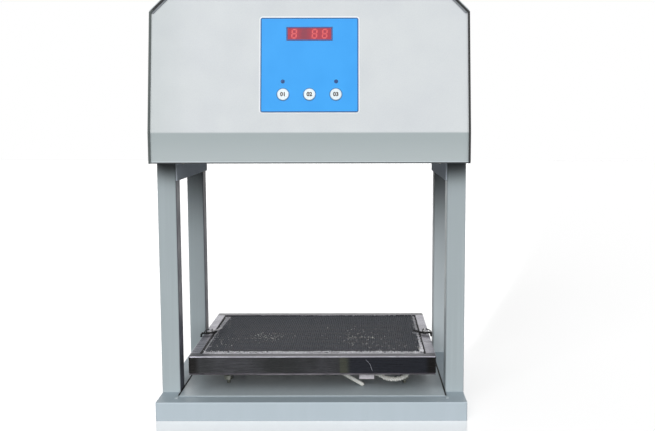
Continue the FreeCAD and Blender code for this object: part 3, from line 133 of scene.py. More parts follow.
class Recipe:
    """Writes the node tree of a material or of the world, a step at a time."""

    def __init__(self, owner: Material | bpy.types.World) -> None:
        """Starts with an empty tree."""
        self.owner = owner
        owner.use_nodes = True
        self.tree = owner.node_tree
        self.tree.nodes.clear()

    def add(self, kind: str, inputs: dict[Any, Any] | None = None, **settings: Any) -> bpy.types.Node:
        """Adds one node.

        Args:
            kind: Blender's name of the node type.
            inputs: What goes into its sockets, by name or number.
            **settings: The node's own options.

        Returns:
            The new node.
        """
        node = self.tree.nodes.new(kind)
        for key, value in settings.items():
            setattr(node, key, value)
        for key, value in (inputs or {}).items():
            self.feed(node.inputs[key], value)
        return node

    def feed(self, socket: Socket, value: Any) -> None:
        """Links another socket to this one, or sets it to a constant.

        Args:
            socket: The input that is fed.
            value: A socket, a number, a colour of three shares or a vector.
        """
        if isinstance(value, Socket):
            self.tree.links.new(value, socket)
        elif socket.type == "RGBA":
            socket.default_value = (*value, 1.0)
        else:
            socket.default_value = value

    def coordinate(self, name: str) -> Socket:
        """The place on the object in the frame's own metres, or another coordinate of it."""
        return self.add("ShaderNodeTexCoord").outputs[name]

    def stretched(self, stretch: Point) -> Socket:
        """The place on the object, with each axis scaled by its own factor."""
        return self.add("ShaderNodeMapping", {"Vector": self.coordinate("Object"), "Scale": stretch}).outputs[0]

    def noise(self, size: float, detail: float = 2.0, stretch: Point = EVEN) -> Socket:
        """Soft lumps.

        Args:
            size: How far apart the lumps are, in metres.
            detail: How many finer layers there are.
            stretch: A factor on each axis, under 1 to draw the lumps out along it.

        Returns:
            A value around 0.5.
        """
        place = self.stretched(stretch)
        return self.add("ShaderNodeTexNoise", {"Vector": place, "Scale": 1 / size, "Detail": detail}).outputs[0]

    def lumps(self, size: float, detail: float, low: float = 0.35, high: float = 0.7, first: float = 0.0,
              last: float = 1.0, stretch: Point = EVEN) -> Socket:
        """Soft lumps as a share of the surface.

        Args:
            size: How far apart the lumps are, in metres.
            detail: How many finer layers there are.
            low: The value of the noise where a lump starts.
            high: The value where it is full.
            first: The share outside the lumps.
            last: The share within them.
            stretch: A factor on each axis, under 1 to draw the lumps out along it.

        Returns:
            The share.
        """
        return self.ramp(self.noise(size, detail, stretch), low, high, first, last)

    def cells(self, size: float, stretch: Point = EVEN) -> Socket:
        """The distance to the nearest of many scattered points, in cells of a size in metres."""
        place = self.stretched(stretch)
        return self.add("ShaderNodeTexVoronoi", {"Vector": place, "Scale": 1 / size}).outputs["Distance"]

    def axis(self, index: int) -> Socket:
        """One coordinate of the place, in metres."""
        return self.add("ShaderNodeSeparateXYZ", {0: self.coordinate("Object")}).outputs[index]

    def away(self, index: int, middle: float = 0.0) -> Socket:
        """How far the place lies from a middle along one axis, on either side, in metres."""
        return self.maths("ABSOLUTE", self.maths("SUBTRACT", self.axis(index), middle))

    def facing(self, index: int) -> Socket:
        """One component of the surface's own direction."""
        return self.add("ShaderNodeSeparateXYZ", {0: self.coordinate("Normal")}).outputs[index]

    def ramp(self, value: Any, low: float, high: float, first: float = 0.0, last: float = 1.0) -> Socket:
        """Maps a range onto another, held at its ends.

        Args:
            value: The socket that is mapped.
            low: Where the range starts.
            high: Where it ends.
            first: What low becomes.
            last: What high becomes.

        Returns:
            The mapped value.
        """
        inputs = {"Value": value, "From Min": low, "From Max": high, "To Min": first, "To Max": last}
        return self.add("ShaderNodeMapRange", inputs, interpolation_type="SMOOTHSTEP").outputs[0]

    def maths(self, operation: str, first: Any, second: Any = 0.0, clamp: bool = False) -> Socket:
        """One step of arithmetic on two values."""
        return self.add("ShaderNodeMath", {0: first, 1: second}, operation=operation, use_clamp=clamp).outputs[0]

    def share(self, operation: str, first: Any, second: Any = 0.0) -> Socket:
        """One step of arithmetic on two shares, kept between 0 and 1."""
        return self.maths(operation, first, second, True)

    def times(self, first: Any, second: Any) -> Socket:
        """The product of two shares."""
        return self.share("MULTIPLY", first, second)

    def seen(self) -> Socket:
        """A value that is 1 for what the eye sees, also in a mirror or through glass, and 0 for light alone."""
        ray = self.add("ShaderNodeLightPath").outputs
        shown = self.share("MAXIMUM", ray["Is Camera Ray"], ray["Is Transmission Ray"])
        return self.share("MAXIMUM", shown, ray["Is Glossy Ray"])

    def blend(self, share: Any, first: Any, second: Any) -> Socket:
        """Mixes two colours by a share."""
        return self.add("ShaderNodeMix", {0: share, 6: first, 7: second}, data_type="RGBA").outputs[2]

    def grain(self, size: float, detail: float, depth: float, edge: float = 0.0003) -> Socket:
        """A surface raised by fine lumps, with slightly rounded edges."""
        return self.bump(self.noise(size, detail), depth, edge=edge)

    def edges(self, radius: float) -> Socket:
        """A value that is 1 along sharp edges and 0 elsewhere.

        Args:
            radius: How far from the edge it reaches, in metres.

        Returns:
            The value.
        """
        soft = self.add("ShaderNodeBevel", {"Radius": radius}, samples=4).outputs[0]
        hard = self.add("ShaderNodeNewGeometry").outputs["Normal"]
        same = self.add("ShaderNodeVectorMath", {0: soft, 1: hard}, operation="DOT_PRODUCT").outputs["Value"]
        return self.ramp(same, *EDGE_COSINES)

    def bump(self, height: Any, depth: float, over: Any = None, edge: float = 0.0) -> Socket:
        """Raises the surface by a height.

        Args:
            height: A value from 0 to 1.
            depth: What 1 stands for, in metres.
            over: Another bump that this one lies on.
            edge: How far sharp edges are rounded, in metres, where nothing lies under this bump.

        Returns:
            The direction of the surface.
        """
        node = self.add("ShaderNodeBump", {"Height": height, "Distance": depth})
        if over is not None:
            self.feed(node.inputs["Normal"], over)
        elif edge:
            self.feed(node.inputs["Normal"], self.add("ShaderNodeBevel", {"Radius": edge}, samples=4).outputs[0])
        return node.outputs[0]

    def surface(self, **inputs: Any) -> Material:
        """Ends the tree in the standard surface shader.

        Args:
            **inputs: Its sockets, in small letters with low lines for spaces.

        Returns:
            The finished material.
        """
        names = {"base_color": "Base Color", "ior": "IOR", "specular": "Specular IOR Level"}
        named = {names.get(key, key.replace("_", " ").title()): value for key, value in inputs.items()}
        shader = self.add("ShaderNodeBsdfPrincipled", named)
        return self.output(shader.outputs[0])

    def output(self, shader: Socket) -> Material | bpy.types.World:
        """Ends the tree in any shader."""
        self.add("ShaderNodeOutput" + type(self.owner).__name__, {"Surface": shader})
        return self.owner


@dataclass(frozen=True)
class Finish(ABC):
    """How one kind of surface looks; lengths are in metres."""

    name: str

    def material(self) -> Material:
        """The material of this finish, made the first time it is asked for."""
        name = "finish_" + self.name
        return bpy.data.materials.get(name) or self.mix(Recipe(bpy.data.materials.new(name)))

    @abstractmethod
    def mix(self, recipe: Recipe) -> Material:
        """Writes the node tree."""


@dataclass(frozen=True)
class Paint(Finish):
    """Baked paint over sheet steel: a mottled tone, orange peel and slightly polished edges."""

    colour: Colour
    deep: Colour
    roughness: float = 0.42
    cloud: float = 0.09
    peel: float = 0.0016
    peel_depth: float = 0.00003
    speck: float = 0.0007
    streak: float = 0.0
    edge: float = 0.0008
    edge_colour: Colour = tone(206, 216, 219)
    specular: float = 0.4

    def base(self, recipe: Recipe) -> Socket:
        """The paint's colour before its edges wear."""
        cloud = recipe.lumps(self.cloud, 3.0, 0.2, 0.8, 0.15, 0.85)
        speck = recipe.lumps(self.speck, 1.0, 0.25, 0.75, -0.35, 0.35)
        share = recipe.share("ADD", cloud, speck)
        if self.streak:
            lines = recipe.lumps(self.streak, 2.0, 0.35, 0.65, stretch=(1.0, 1.0, 0.02))
            share = recipe.times(recipe.share("ADD", share, lines), 0.5)
        return recipe.blend(share, self.colour, self.deep)

    def mix(self, recipe: Recipe) -> Material:
        """Writes the node tree."""
        worn = recipe.times(recipe.edges(self.edge), recipe.lumps(0.02, 2.0, 0.3, 0.7, 0.15, 0.7))
        colour = recipe.blend(worn, self.base(recipe), self.edge_colour)
        normal = recipe.grain(self.peel, 1.0, self.peel_depth, self.edge)
        rough = recipe.lumps(0.03, 2.0, 0.3, 0.7, self.roughness - 0.05, self.roughness + 0.07)
        return recipe.surface(base_color=colour, roughness=rough, normal=normal, specular=self.specular)


@dataclass(frozen=True)
class ShadedPaint(Paint):
    """Paint of a post: painted shadow of the head close under it, and painted shade on the left posts' inner faces."""

    # shade is the colour of the painted shadow under the head; inner is painted shade on inner faces.
    shade: Colour = tone(14, 16, 18)
    inner: Colour = tone(76, 78, 90)
    top: float = 0.3385
    reach: float = 0.042
    depth: float = 0.93
    power: float = 1.65

    def base(self, recipe: Recipe) -> Socket:
        """The paint's colour, with painted shade by height and on the inner faces."""
        # Painted shadow of the head: darker towards the top of the post, where the head overhangs it.
        rise = recipe.ramp(recipe.axis(HEIGHT), self.top - self.reach, self.top)
        share = recipe.times(recipe.share("POWER", rise, self.power), self.depth)
        # Painted shade: the left posts' inner faces, turned away from the key light, take the dark inner tone.
        inner = recipe.ramp(recipe.facing(ACROSS), 0.6, 0.9)
        inner = recipe.times(inner, recipe.ramp(recipe.axis(ACROSS), 0.01, -0.01))
        colour = recipe.blend(inner, super().base(recipe), self.inner)
        return recipe.blend(share, colour, self.shade)


@dataclass(frozen=True)
class PanPaint(Paint):
    """Base pan: its level flange is painted darker than its walls, as painted shade on the upward faces."""

    # dull is painted shade for the upward faces.
    dull: Colour = tone(150, 163, 171)

    def base(self, recipe: Recipe) -> Socket:
        """The pan's colour, by the way that its faces look."""
        return recipe.blend(recipe.ramp(recipe.facing(HEIGHT), 0.6, 0.95), super().base(recipe), self.dull)


@dataclass(frozen=True)
class PanelPaint(Paint):
    """Front panel: fine silver-grey mottle on the lean, a greyer tone on the upright band."""

    band: Colour = tone(176, 187, 189)
    band_low: Colour = tone(188, 198, 200)
    bend: float = 0.378
    bottom: float = 0.3385
    bend_width: float = 0.0016
    side: Colour = tone(186, 196, 196)
    # The hem colours are painted shade and a painted highlight along the folded lower edge.
    hem: Colour = tone(84, 89, 92)
    hem_light: Colour = tone(214, 224, 228)
    hem_height: float = 0.0015

    def base(self, recipe: Recipe) -> Socket:
        """The panel's colour, by height, with a painted shade and a painted highlight along its folded lower edge."""
        lean = super().base(recipe)
        lean = recipe.blend(recipe.ramp(recipe.axis(ACROSS), -0.14, -0.205, 0.0, 0.35), lean, self.side)
        height = recipe.axis(HEIGHT)
        band = recipe.blend(recipe.ramp(height, self.bottom, self.bend), self.band_low, self.band)
        # Painted highlight on the lower fold, then painted shade below it where the fold turns under.
        band = recipe.blend(self.step(recipe, height, 2), self.hem_light, band)
        band = recipe.blend(self.step(recipe, height, 1), self.hem, band)
        return recipe.blend(recipe.ramp(height, self.bend - self.bend_width, self.bend + self.bend_width), band, lean)

    def step(self, recipe: Recipe, height: Socket, count: int) -> Socket:
        """A value that turns from 0 to 1 at a number of hem heights above the lower edge."""
        level = self.bottom + count * self.hem_height
        return recipe.ramp(height, level - self.hem_height / 4, level + self.hem_height / 4)


@dataclass(frozen=True)
class TraySteel(Finish):
    """Bright sheet steel: outer walls in a painted dark reflection, bluish on the right, paler on the rim, with
    painted highlights on the folds.
    """

    rim: Colour = tone(142, 140, 149)
    rim_dark: Colour = tone(98, 96, 105)
    front_rim: Colour = tone(66, 66, 71)
    rear_rim: Colour = tone(46, 46, 50)
    front_edge: float = -0.1035
    front_lip: float = -0.1180
    # The dark wall tone and its bluish right half are a painted reflection of dark surroundings in the steel; the
    # cloudy smears over them are partly real.
    wall: Colour = tone(30, 31, 32)
    smear: Colour = tone(52, 52, 56)
    tint: Colour = tone(23, 25, 31)
    tint_start: float = 0.044
    tint_end: float = 0.052
    band: Colour = tone(50, 52, 45)
    band_start: float = 0.036
    burnt: Colour = tone(9, 8, 8)
    burnt_start: float = 0.150
    burnt_end: float = 0.158
    blotch: float = 0.035
    scratch: float = 0.0009
    # bright and dull are painted highlights on the folds at the top and foot of the wall and on the rim's front edge.
    bright: Colour = tone(160, 159, 168)
    dull: Colour = tone(112, 108, 114)
    top: float = 0.0774
    foot: float = 0.0560

    def mix(self, recipe: Recipe) -> Material:
        """Writes the node tree."""
        blotch = recipe.lumps(self.blotch, 3.0, stretch=(1.0, 1.0, 0.6))
        across = recipe.axis(ACROSS)
        height = recipe.axis(HEIGHT)
        # Painted reflection: the dark wall tone, with smears, turning bluish on the right half.
        wall = recipe.blend(recipe.times(blotch, 0.6), self.wall, self.smear)
        wall = recipe.blend(recipe.ramp(across, self.band_start, self.band_start + 0.002), wall, self.band)
        wall = recipe.blend(recipe.ramp(across, self.tint_start, self.tint_end), wall, self.tint)
        # Darkest towards both ends of the wall.
        wall = recipe.blend(recipe.ramp(recipe.away(ACROSS), self.burnt_start, self.burnt_end), wall, self.burnt)
        streaks = recipe.lumps(self.scratch, 3.0, 0.35, 0.65, stretch=(0.03, 1.0, 1.0))
        # Painted highlight along the wall's rounded top fold.
        lip = recipe.ramp(height, self.top, self.top + 0.0004)
        lip = recipe.times(lip, recipe.ramp(streaks, 0.0, 1.0, 1.0, 0.7))
        wall = recipe.blend(lip, wall, self.bright)
        # Painted highlight along the bottom fold: the wall's foot takes the lighter dull tone.
        wall = recipe.blend(recipe.ramp(height, self.foot, self.foot - 0.0004), wall, self.dull)
        rim = recipe.blend(recipe.times(streaks, blotch), self.rim, self.rim_dark)
        front = recipe.ramp(recipe.axis(ALONG), self.front_edge, self.front_edge - 0.001)
        # Painted highlight on the rim's front edge.
        front_lip = recipe.ramp(recipe.axis(ALONG), self.front_lip, self.front_lip - 0.0005, 0.0, 0.7)
        rim = recipe.blend(recipe.times(front, 0.85), rim, self.front_rim)
        rim = recipe.blend(front_lip, rim, self.bright)
        rear = recipe.ramp(recipe.axis(ALONG), -self.front_edge, 0.001 - self.front_edge)
        rim = recipe.blend(rear, rim, self.rear_rim)
        upward = recipe.ramp(recipe.facing(HEIGHT), 0.5, 0.9)
        colour = recipe.blend(upward, wall, rim)
        sooty = recipe.times(recipe.share("SUBTRACT", front, front_lip), upward)
        scratches = recipe.noise(self.scratch, 4.0, (0.04, 1.0, 1.0))
        normal = recipe.bump(scratches, 0.00004, edge=0.0006)
        rough = recipe.ramp(streaks, 0.0, 1.0, 0.22, 0.4)
        return recipe.surface(base_color=colour, metallic=recipe.ramp(sooty, 0.0, 1.0, 0.7, 0.1), roughness=rough,
                              normal=normal, specular=recipe.ramp(sooty, 0.0, 1.0, 0.3, 0.08))


@dataclass(frozen=True)
class Metal(Finish):
    """Bare or plated metal with fine turning marks and a blotchy film."""

    colour: Colour
    stain: Colour
    roughness: float = 0.32
    metallic: float = 0.9
    blotch: float = 0.004
    grain: float = 0.0004
    grain_depth: float = 0.00003

    def mix(self, recipe: Recipe) -> Material:
        """Writes the node tree."""
        blotch = recipe.lumps(self.blotch, 3.0)
        colour = recipe.blend(blotch, self.colour, self.stain)
        normal = recipe.grain(self.grain, 2.0, self.grain_depth)
        rough = recipe.ramp(blotch, 0.0, 1.0, self.roughness, self.roughness + 0.2)
        return recipe.surface(base_color=colour, metallic=self.metallic, roughness=rough, normal=normal)


@dataclass(frozen=True)
class WovenWire(Metal):
    """Woven wire, dark and blotchy, with a painted highlight on the crests where it rises over its neighbours."""

    crest: Colour = tone(214, 222, 238)
    level: float = 0.0788
    rise: float = 0.0004

    def mix(self, recipe: Recipe) -> Material:
        """Writes the node tree."""
        # Painted highlight on the wire crests.
        crest = recipe.ramp(recipe.axis(HEIGHT), self.level, self.level + self.rise)
        crest = recipe.times(crest, recipe.lumps(0.004, 2.0, 0.35, 0.65, 0.35, 1.0))
        film = recipe.blend(recipe.lumps(self.blotch, 3.0), self.colour, self.stain)
        colour = recipe.blend(crest, film, self.crest)
        return recipe.surface(base_color=colour, metallic=self.metallic, roughness=self.roughness)


@dataclass(frozen=True)
class FibreBoard(Finish):
    """Pressed fibre board: rough and off-white at its edges, sooty where the gauze lies."""

    clean: Colour = tone(222, 221, 226)
    grubby: Colour = tone(150, 149, 156)
    soot: Colour = tone(17, 17, 19)
    soot_x: float = 0.1485
    soot_front: float = -0.0965
    margin: float = 0.002
    lean: float = 0.006

    def mix(self, recipe: Recipe) -> Material:
        """Writes the node tree."""
        ragged = recipe.lumps(0.004, 3.0, 0.3, 0.7, -self.margin, self.margin)
        lean = recipe.ramp(recipe.axis(ALONG), 0.0, 0.1, 0.0, self.lean)
        lean = recipe.times(lean, recipe.ramp(recipe.axis(ACROSS), 0.0, -0.01))
        wander = recipe.maths("ADD", recipe.maths("ADD", recipe.away(ACROSS), ragged), lean)
        in_x = recipe.ramp(wander, self.soot_x, self.soot_x - self.margin)
        along = recipe.maths("ADD", recipe.axis(ALONG), ragged)
        in_y = recipe.ramp(along, self.soot_front, self.soot_front + self.margin)
        soot = recipe.times(in_x, in_y)
        patches = recipe.lumps(0.006, 4.0, 0.35, 0.65)
        bare = recipe.blend(patches, self.clean, self.grubby)
        sooty = recipe.blend(recipe.lumps(0.002, 3.0, 0.4, 0.8), self.soot, tone(30, 30, 32))
        colour = recipe.blend(recipe.times(soot, 0.96), bare, sooty)
        fibres = recipe.noise(0.0008, 4.0, (0.4, 1.0, 1.0))
        normal = recipe.bump(patches, 0.0004, recipe.bump(fibres, 0.0003))
        return recipe.surface(base_color=colour, roughness=0.95, normal=normal, specular=0.1)


@dataclass(frozen=True)
class Moulded(Finish):
    """Moulded plastic or ceramic with a fine spark-eroded grain."""

    colour: Colour
    worn: Colour
    roughness: float = 0.5
    grain: float = 0.0005
    grain_depth: float = 0.00004
    patch: float = 0.006
    coat: float = 0.0

    def mix(self, recipe: Recipe) -> Material:
        """Writes the node tree."""
        patch = recipe.lumps(self.patch, 3.0, 0.35, 0.75, 0.0, 0.6)
        rubbed = recipe.share("MAXIMUM", patch, recipe.times(recipe.edges(0.0005), 0.8))
        colour = recipe.blend(rubbed, self.colour, self.worn)
        normal = recipe.grain(self.grain, 1.0, self.grain_depth)
        rough = recipe.ramp(patch, 0.0, 0.6, self.roughness, self.roughness + 0.12)
        return recipe.surface(base_color=colour, roughness=rough, normal=normal, coat_weight=self.coat)


@dataclass(frozen=True)
class Edging(Moulded):
    """Edging strip: black, with a painted grey tone on its left uprights that stands in for light on the rubber."""

    greyed: Colour = tone(84, 91, 90)
    slope: float = 0.5335

    def mix(self, recipe: Recipe) -> Material:
        """Writes the node tree."""
        patch = recipe.lumps(self.patch, 3.0, 0.35, 0.75, 0.0, 0.5)
        black = recipe.blend(patch, self.colour, self.worn)
        left = recipe.ramp(recipe.axis(ACROSS), 0.01, -0.01)
        low = recipe.ramp(recipe.axis(HEIGHT), self.slope + 0.001, self.slope)
        # Painted light: the left uprights take the grey tone.
        colour = recipe.blend(recipe.times(left, low), black, self.greyed)
        normal = recipe.grain(self.grain, 1.0, self.grain_depth)
        return recipe.surface(base_color=colour, roughness=self.roughness, normal=normal)


@dataclass(frozen=True)
class Film(Finish):
    """Printed keypad film: a flat tone with a faint crosswise texture, and painted shade on its cut edges."""

    colour: Colour
    deep: Colour
    edge_colour: Colour

    def mix(self, recipe: Recipe) -> Material:
        """Writes the node tree."""
        cloud = recipe.lumps(0.03, 2.0, 0.3, 0.7)
        colour = recipe.blend(cloud, self.colour, self.deep)
        # Painted shade: faces that don't look out of the panel take the dark edge colour.
        front = recipe.ramp(recipe.facing(ALONG), -0.9, -0.7)
        colour = recipe.blend(front, colour, self.edge_colour)
        texture = recipe.noise(0.0005, 1.0, (1.0, 1.0, 0.6))
        normal = recipe.bump(texture, 0.00002)
        return recipe.surface(base_color=colour, roughness=0.46, normal=normal, specular=0.3)


@dataclass(frozen=True)
class TintedWindow(Finish):
    """Tinted display window, smoky in the middle where a digit is dark."""

    colour: Colour
    smoke: Colour
    smoke_place: float = -0.0065
    smoke_width: float = 0.012

    def mix(self, recipe: Recipe) -> Material:
        """Writes the node tree."""
        smoke = recipe.ramp(recipe.away(ACROSS, self.smoke_place), self.smoke_width, 0.0, 0.1, 0.9)
        speck = recipe.lumps(0.0018, 2.0, 0.35, 0.7, 0.0, 0.3)
        colour = recipe.blend(recipe.share("ADD", smoke, speck), self.colour, self.smoke)
        normal = recipe.bump(recipe.noise(0.02, 1.0), 0.00005)
        return recipe.surface(base_color=colour, roughness=0.3, normal=normal, specular=0.15)


@dataclass(frozen=True)
class Glow(Finish):
    """Lit part of a display: a glowing colour that is softer at the ends of each bar."""

    colour: Colour
    dim: Colour
    strength: float

    def mix(self, recipe: Recipe) -> Material:
        """Writes the node tree."""
        spot = recipe.lumps(0.0012, 1.0, 0.3, 0.7)
        colour = recipe.blend(spot, self.colour, self.dim)
        return recipe.surface(base_color=colour, roughness=0.3, emission_color=colour,
                              emission_strength=self.strength)


@dataclass(frozen=True)
class Braid(Finish):
    """Braided or twisted glass yarn: matt off-white, with painted shade in the valleys between the threads and darker
    dirt patches.
    """

    colour: Colour
    valley: Colour
    thread: float = 0.0006

    def mix(self, recipe: Recipe) -> Material:
        """Writes the node tree."""
        threads = recipe.cells(self.thread, (0.4, 1.0, 0.7))
        dirt = recipe.lumps(0.006, 3.0, 0.4, 0.75, 0.0, 0.2)
        # The valley tone is painted shade between the threads, and also darker dirt.
        share = recipe.share("MAXIMUM", recipe.ramp(threads, 0.35, 0.8), dirt)
        colour = recipe.blend(share, self.colour, self.valley)
        normal = recipe.bump(threads, -0.0002)
        return recipe.surface(base_color=colour, roughness=0.85, normal=normal, sheen_weight=0.3, specular=0.2)


@dataclass(frozen=True)
class CircuitBoard(Finish):
    """Green solder mask over copper tracks, with pale pads."""

    mask: Colour = tone(30, 96, 58)
    track: Colour = tone(46, 122, 74)
    pad: Colour = tone(190, 186, 160)

    def mix(self, recipe: Recipe) -> Material:
        """Writes the node tree."""
        lines = recipe.add("ShaderNodeTexBrick", {"Vector": recipe.stretched((120.0, 120.0, 120.0)),
                                                  "Color1": self.track, "Color2": self.mask, "Mortar": self.mask,
                                                  "Scale": 2.0, "Mortar Size": 0.12}).outputs["Color"]
        dots = recipe.ramp(recipe.cells(0.006), 0.16, 0.12)
        colour = recipe.blend(dots, lines, self.pad)
        normal = recipe.bump(dots, 0.0001, edge=0.0003)
        return recipe.surface(base_color=colour, roughness=0.3, normal=normal, coat_weight=0.3)


@dataclass(frozen=True)
class CoreSteel(Finish):
    """Transformer: thin laminations along the core, and copper turns under tape on the coil."""

    steel: Colour = tone(96, 92, 90)
    gap: Colour = tone(48, 45, 44)
    tape: Colour = tone(206, 176, 96)
    coil_reach: float = 0.019
    middle: float = -0.11

    def mix(self, recipe: Recipe) -> Material:
        """Writes the node tree."""
        sheets = recipe.lumps(0.0006, 1.0, 0.4, 0.6, stretch=(0.01, 1.0, 0.01))
        core = recipe.blend(sheets, self.steel, self.gap)
        turns = recipe.lumps(0.0012, 1.0, 0.4, 0.6, stretch=(1.0, 0.02, 0.02))
        coil = recipe.blend(turns, self.tape, tone(160, 122, 60))
        on_coil = recipe.ramp(recipe.away(ACROSS, self.middle), self.coil_reach, self.coil_reach - 0.001)
        colour = recipe.blend(on_coil, core, coil)
        normal = recipe.bump(sheets, 0.0001)
        return recipe.surface(base_color=colour, roughness=0.6, normal=normal, metallic=0.2)


@dataclass(frozen=True)
class Chalk(Finish):
    """Dry white residue."""

    colour: Colour = tone(212, 210, 206)
    dull: Colour = tone(150, 148, 146)

    def mix(self, recipe: Recipe) -> Material:
        """Writes the node tree."""
        patch = recipe.lumps(0.002, 3.0)
        colour = recipe.blend(patch, self.colour, self.dull)
        normal = recipe.bump(recipe.noise(0.0004, 2.0), 0.0002)
        return recipe.surface(base_color=colour, roughness=0.95, normal=normal)


@dataclass(frozen=True)
class Floor(Finish):
    """White bench top: glossy enough to mirror the base faintly, and it keeps the shadow."""

    mirror: float = 0.5
    glow: float = 0.36
    top: Colour = (0.86, 0.86, 0.86)
    bounce: Colour = (0.2, 0.2, 0.2)
    roughness: float = 0.07

    def mix(self, recipe: Recipe) -> Material:
        """Writes the node tree."""
        grain = recipe.lumps(0.3, 2.0, 0.3, 0.7, self.roughness, self.roughness + 0.02)
        plain = recipe.add("ShaderNodeBsdfDiffuse", {"Color": self.top}).outputs[0]
        lift = recipe.add("ShaderNodeEmission", {"Color": WHITE, "Strength": self.glow}).outputs[0]
        white = recipe.add("ShaderNodeAddShader", {0: plain, 1: lift}).outputs[0]
        gloss = recipe.add("ShaderNodeBsdfGlossy", {"Color": WHITE, "Roughness": grain}).outputs[0]
        seen = recipe.add("ShaderNodeMixShader", {0: self.mirror, 1: white, 2: gloss}).outputs[0]
        bounce = recipe.add("ShaderNodeBsdfDiffuse", {"Color": self.bounce}).outputs[0]
        return recipe.output(recipe.add("ShaderNodeMixShader", {0: recipe.seen(), 1: bounce, 2: seen}).outputs[0])


BASE_PAINT = PanPaint("base_paint", tone(196, 209, 218), tone(190, 204, 212), streak=0.02)
DECK_PAINT = Paint("deck_paint", tone(166, 177, 182), tone(160, 171, 176), roughness=0.36, cloud=0.3,
                   peel=0.006, peel_depth=0.000002, speck=0.004)
POST_PAINT = ShadedPaint("post_paint", tone(182, 193, 197), tone(170, 181, 185), streak=0.006, specular=0.2)
# The rear posts' paint is a darker, shaded copy of the post paint, with a longer painted shadow under the head.
REAR_POST_SHADED_PAINT = ShadedPaint("rear_post_shaded_paint", tone(172, 182, 186), tone(158, 169, 173), streak=0.006, reach=0.17,
                              depth=0.97, specular=0.12)
# The rear right post's paint is a lighter, lit copy of the rear posts' paint.
REAR_RIGHT_LIT_PAINT = replace(REAR_POST_SHADED_PAINT, name="rear_right_lit_paint", colour=tone(196, 205, 209),
                           deep=tone(186, 196, 200))
HEAD_UNDER_PAINT = Paint("head_under_paint", tone(150, 158, 163), tone(136, 146, 150))
RAIL_PAINT = Paint("rail_paint", tone(196, 204, 214), tone(188, 196, 205), roughness=0.85, specular=0.05)
COVER_PAINT = Paint("cover_paint", tone(196, 204, 207), tone(184, 194, 198), streak=0.03)
PANEL_PAINT = PanelPaint("panel_paint", tone(222, 227, 229), tone(214, 219, 223), roughness=0.5, cloud=0.05)
TRAY_STEEL = TraySteel("tray_steel")
ZINC = Metal("zinc_plating", tone(192, 192, 188), tone(150, 147, 142))
STUD_STEEL = Metal("dull_steel", tone(150, 152, 144), tone(92, 94, 86), roughness=0.35)
GAUZE_WIRE = WovenWire("gauze_wire", tone(74, 77, 84), tone(54, 56, 62), roughness=0.5, metallic=0.6, blotch=0.0015)
TIE_WIRE = Metal("tie_wire", tone(18, 17, 18), tone(8, 8, 9), roughness=0.5, metallic=0.4, blotch=0.003)
# The bright wire is a pale copy of the tie wire: a painted highlight along the ties, and on the left also a pale
# strand.
BRIGHT_WIRE = Metal("bright_wire", tone(206, 206, 208), tone(160, 158, 158), roughness=0.3, blotch=0.003)
SCRATCH = Metal("bare_scratch", tone(196, 198, 206), tone(120, 122, 132), roughness=0.35, blotch=0.002)
HEATING_WIRE = Metal("heating_wire", tone(96, 84, 76), tone(58, 50, 46), roughness=0.55, metallic=0.7)
GUARD_COAT = Metal("guard_coat", tone(52, 52, 56), tone(38, 38, 42), roughness=0.42, metallic=0.3)
# The hem's lighter steel tone is a painted highlight along the tray's bottom fold.
TRAY_HEM_HIGHLIGHT = Metal("tray_hem", tone(112, 108, 114), tone(92, 89, 94), roughness=0.4, blotch=0.01)
BRASS = Metal("brass", tone(214, 184, 112), tone(176, 140, 76))
FIBRE = FibreBoard("fibre_board")
CERAMIC = Moulded("white_ceramic", tone(250, 246, 250), tone(232, 224, 232), roughness=0.6, patch=0.004)
RUBBER = Moulded("black_rubber", tone(40, 40, 41), tone(58, 58, 58), roughness=0.75)
EDGE_RUBBER = Edging("edge_rubber", tone(14, 15, 16), tone(26, 27, 29), roughness=0.7, patch=0.02)
# Black for the painted shade strips in the gaps.
GAP_SHADE_BLACK = Moulded("gap_shade_black", tone(14, 15, 17), tone(24, 25, 27), roughness=0.8, patch=0.02)
# Grey for the painted shadow strip under each chamfer.
CHAMFER_SHADOW_PAINT = Moulded("chamfer_shadow_paint", tone(132, 138, 143), tone(116, 122, 128), roughness=0.5, patch=0.02)
BLACK_PLASTIC = Moulded("black_plastic", tone(34, 34, 37), tone(52, 52, 56))
GREEN_PLASTIC = Moulded("green_plastic", tone(58, 138, 84), tone(84, 160, 106), roughness=0.4)
WHITE_KEY = Moulded("white_key", tone(236, 249, 254), tone(226, 241, 247), roughness=0.34, coat=0.2)
KEY_MARK = Moulded("key_mark", tone(74, 66, 62), tone(92, 84, 78), roughness=0.6)
WHITE_MARK = Moulded("white_mark", tone(226, 226, 222), tone(200, 200, 196), roughness=0.6)
LAMP_LENS = Moulded("lamp_lens", tone(22, 70, 142), tone(34, 92, 170), roughness=0.22, coat=0.6)
BLUE_FILM = Film("blue_film", tone(56, 172, 255), tone(52, 168, 252), tone(24, 78, 138))
FILM_MARGIN = Moulded("film_margin", tone(250, 253, 255), tone(244, 250, 253), roughness=0.5, patch=0.02)
FILM_BORDER = Moulded("film_border", tone(22, 84, 144), tone(30, 96, 158), roughness=0.5, patch=0.02)
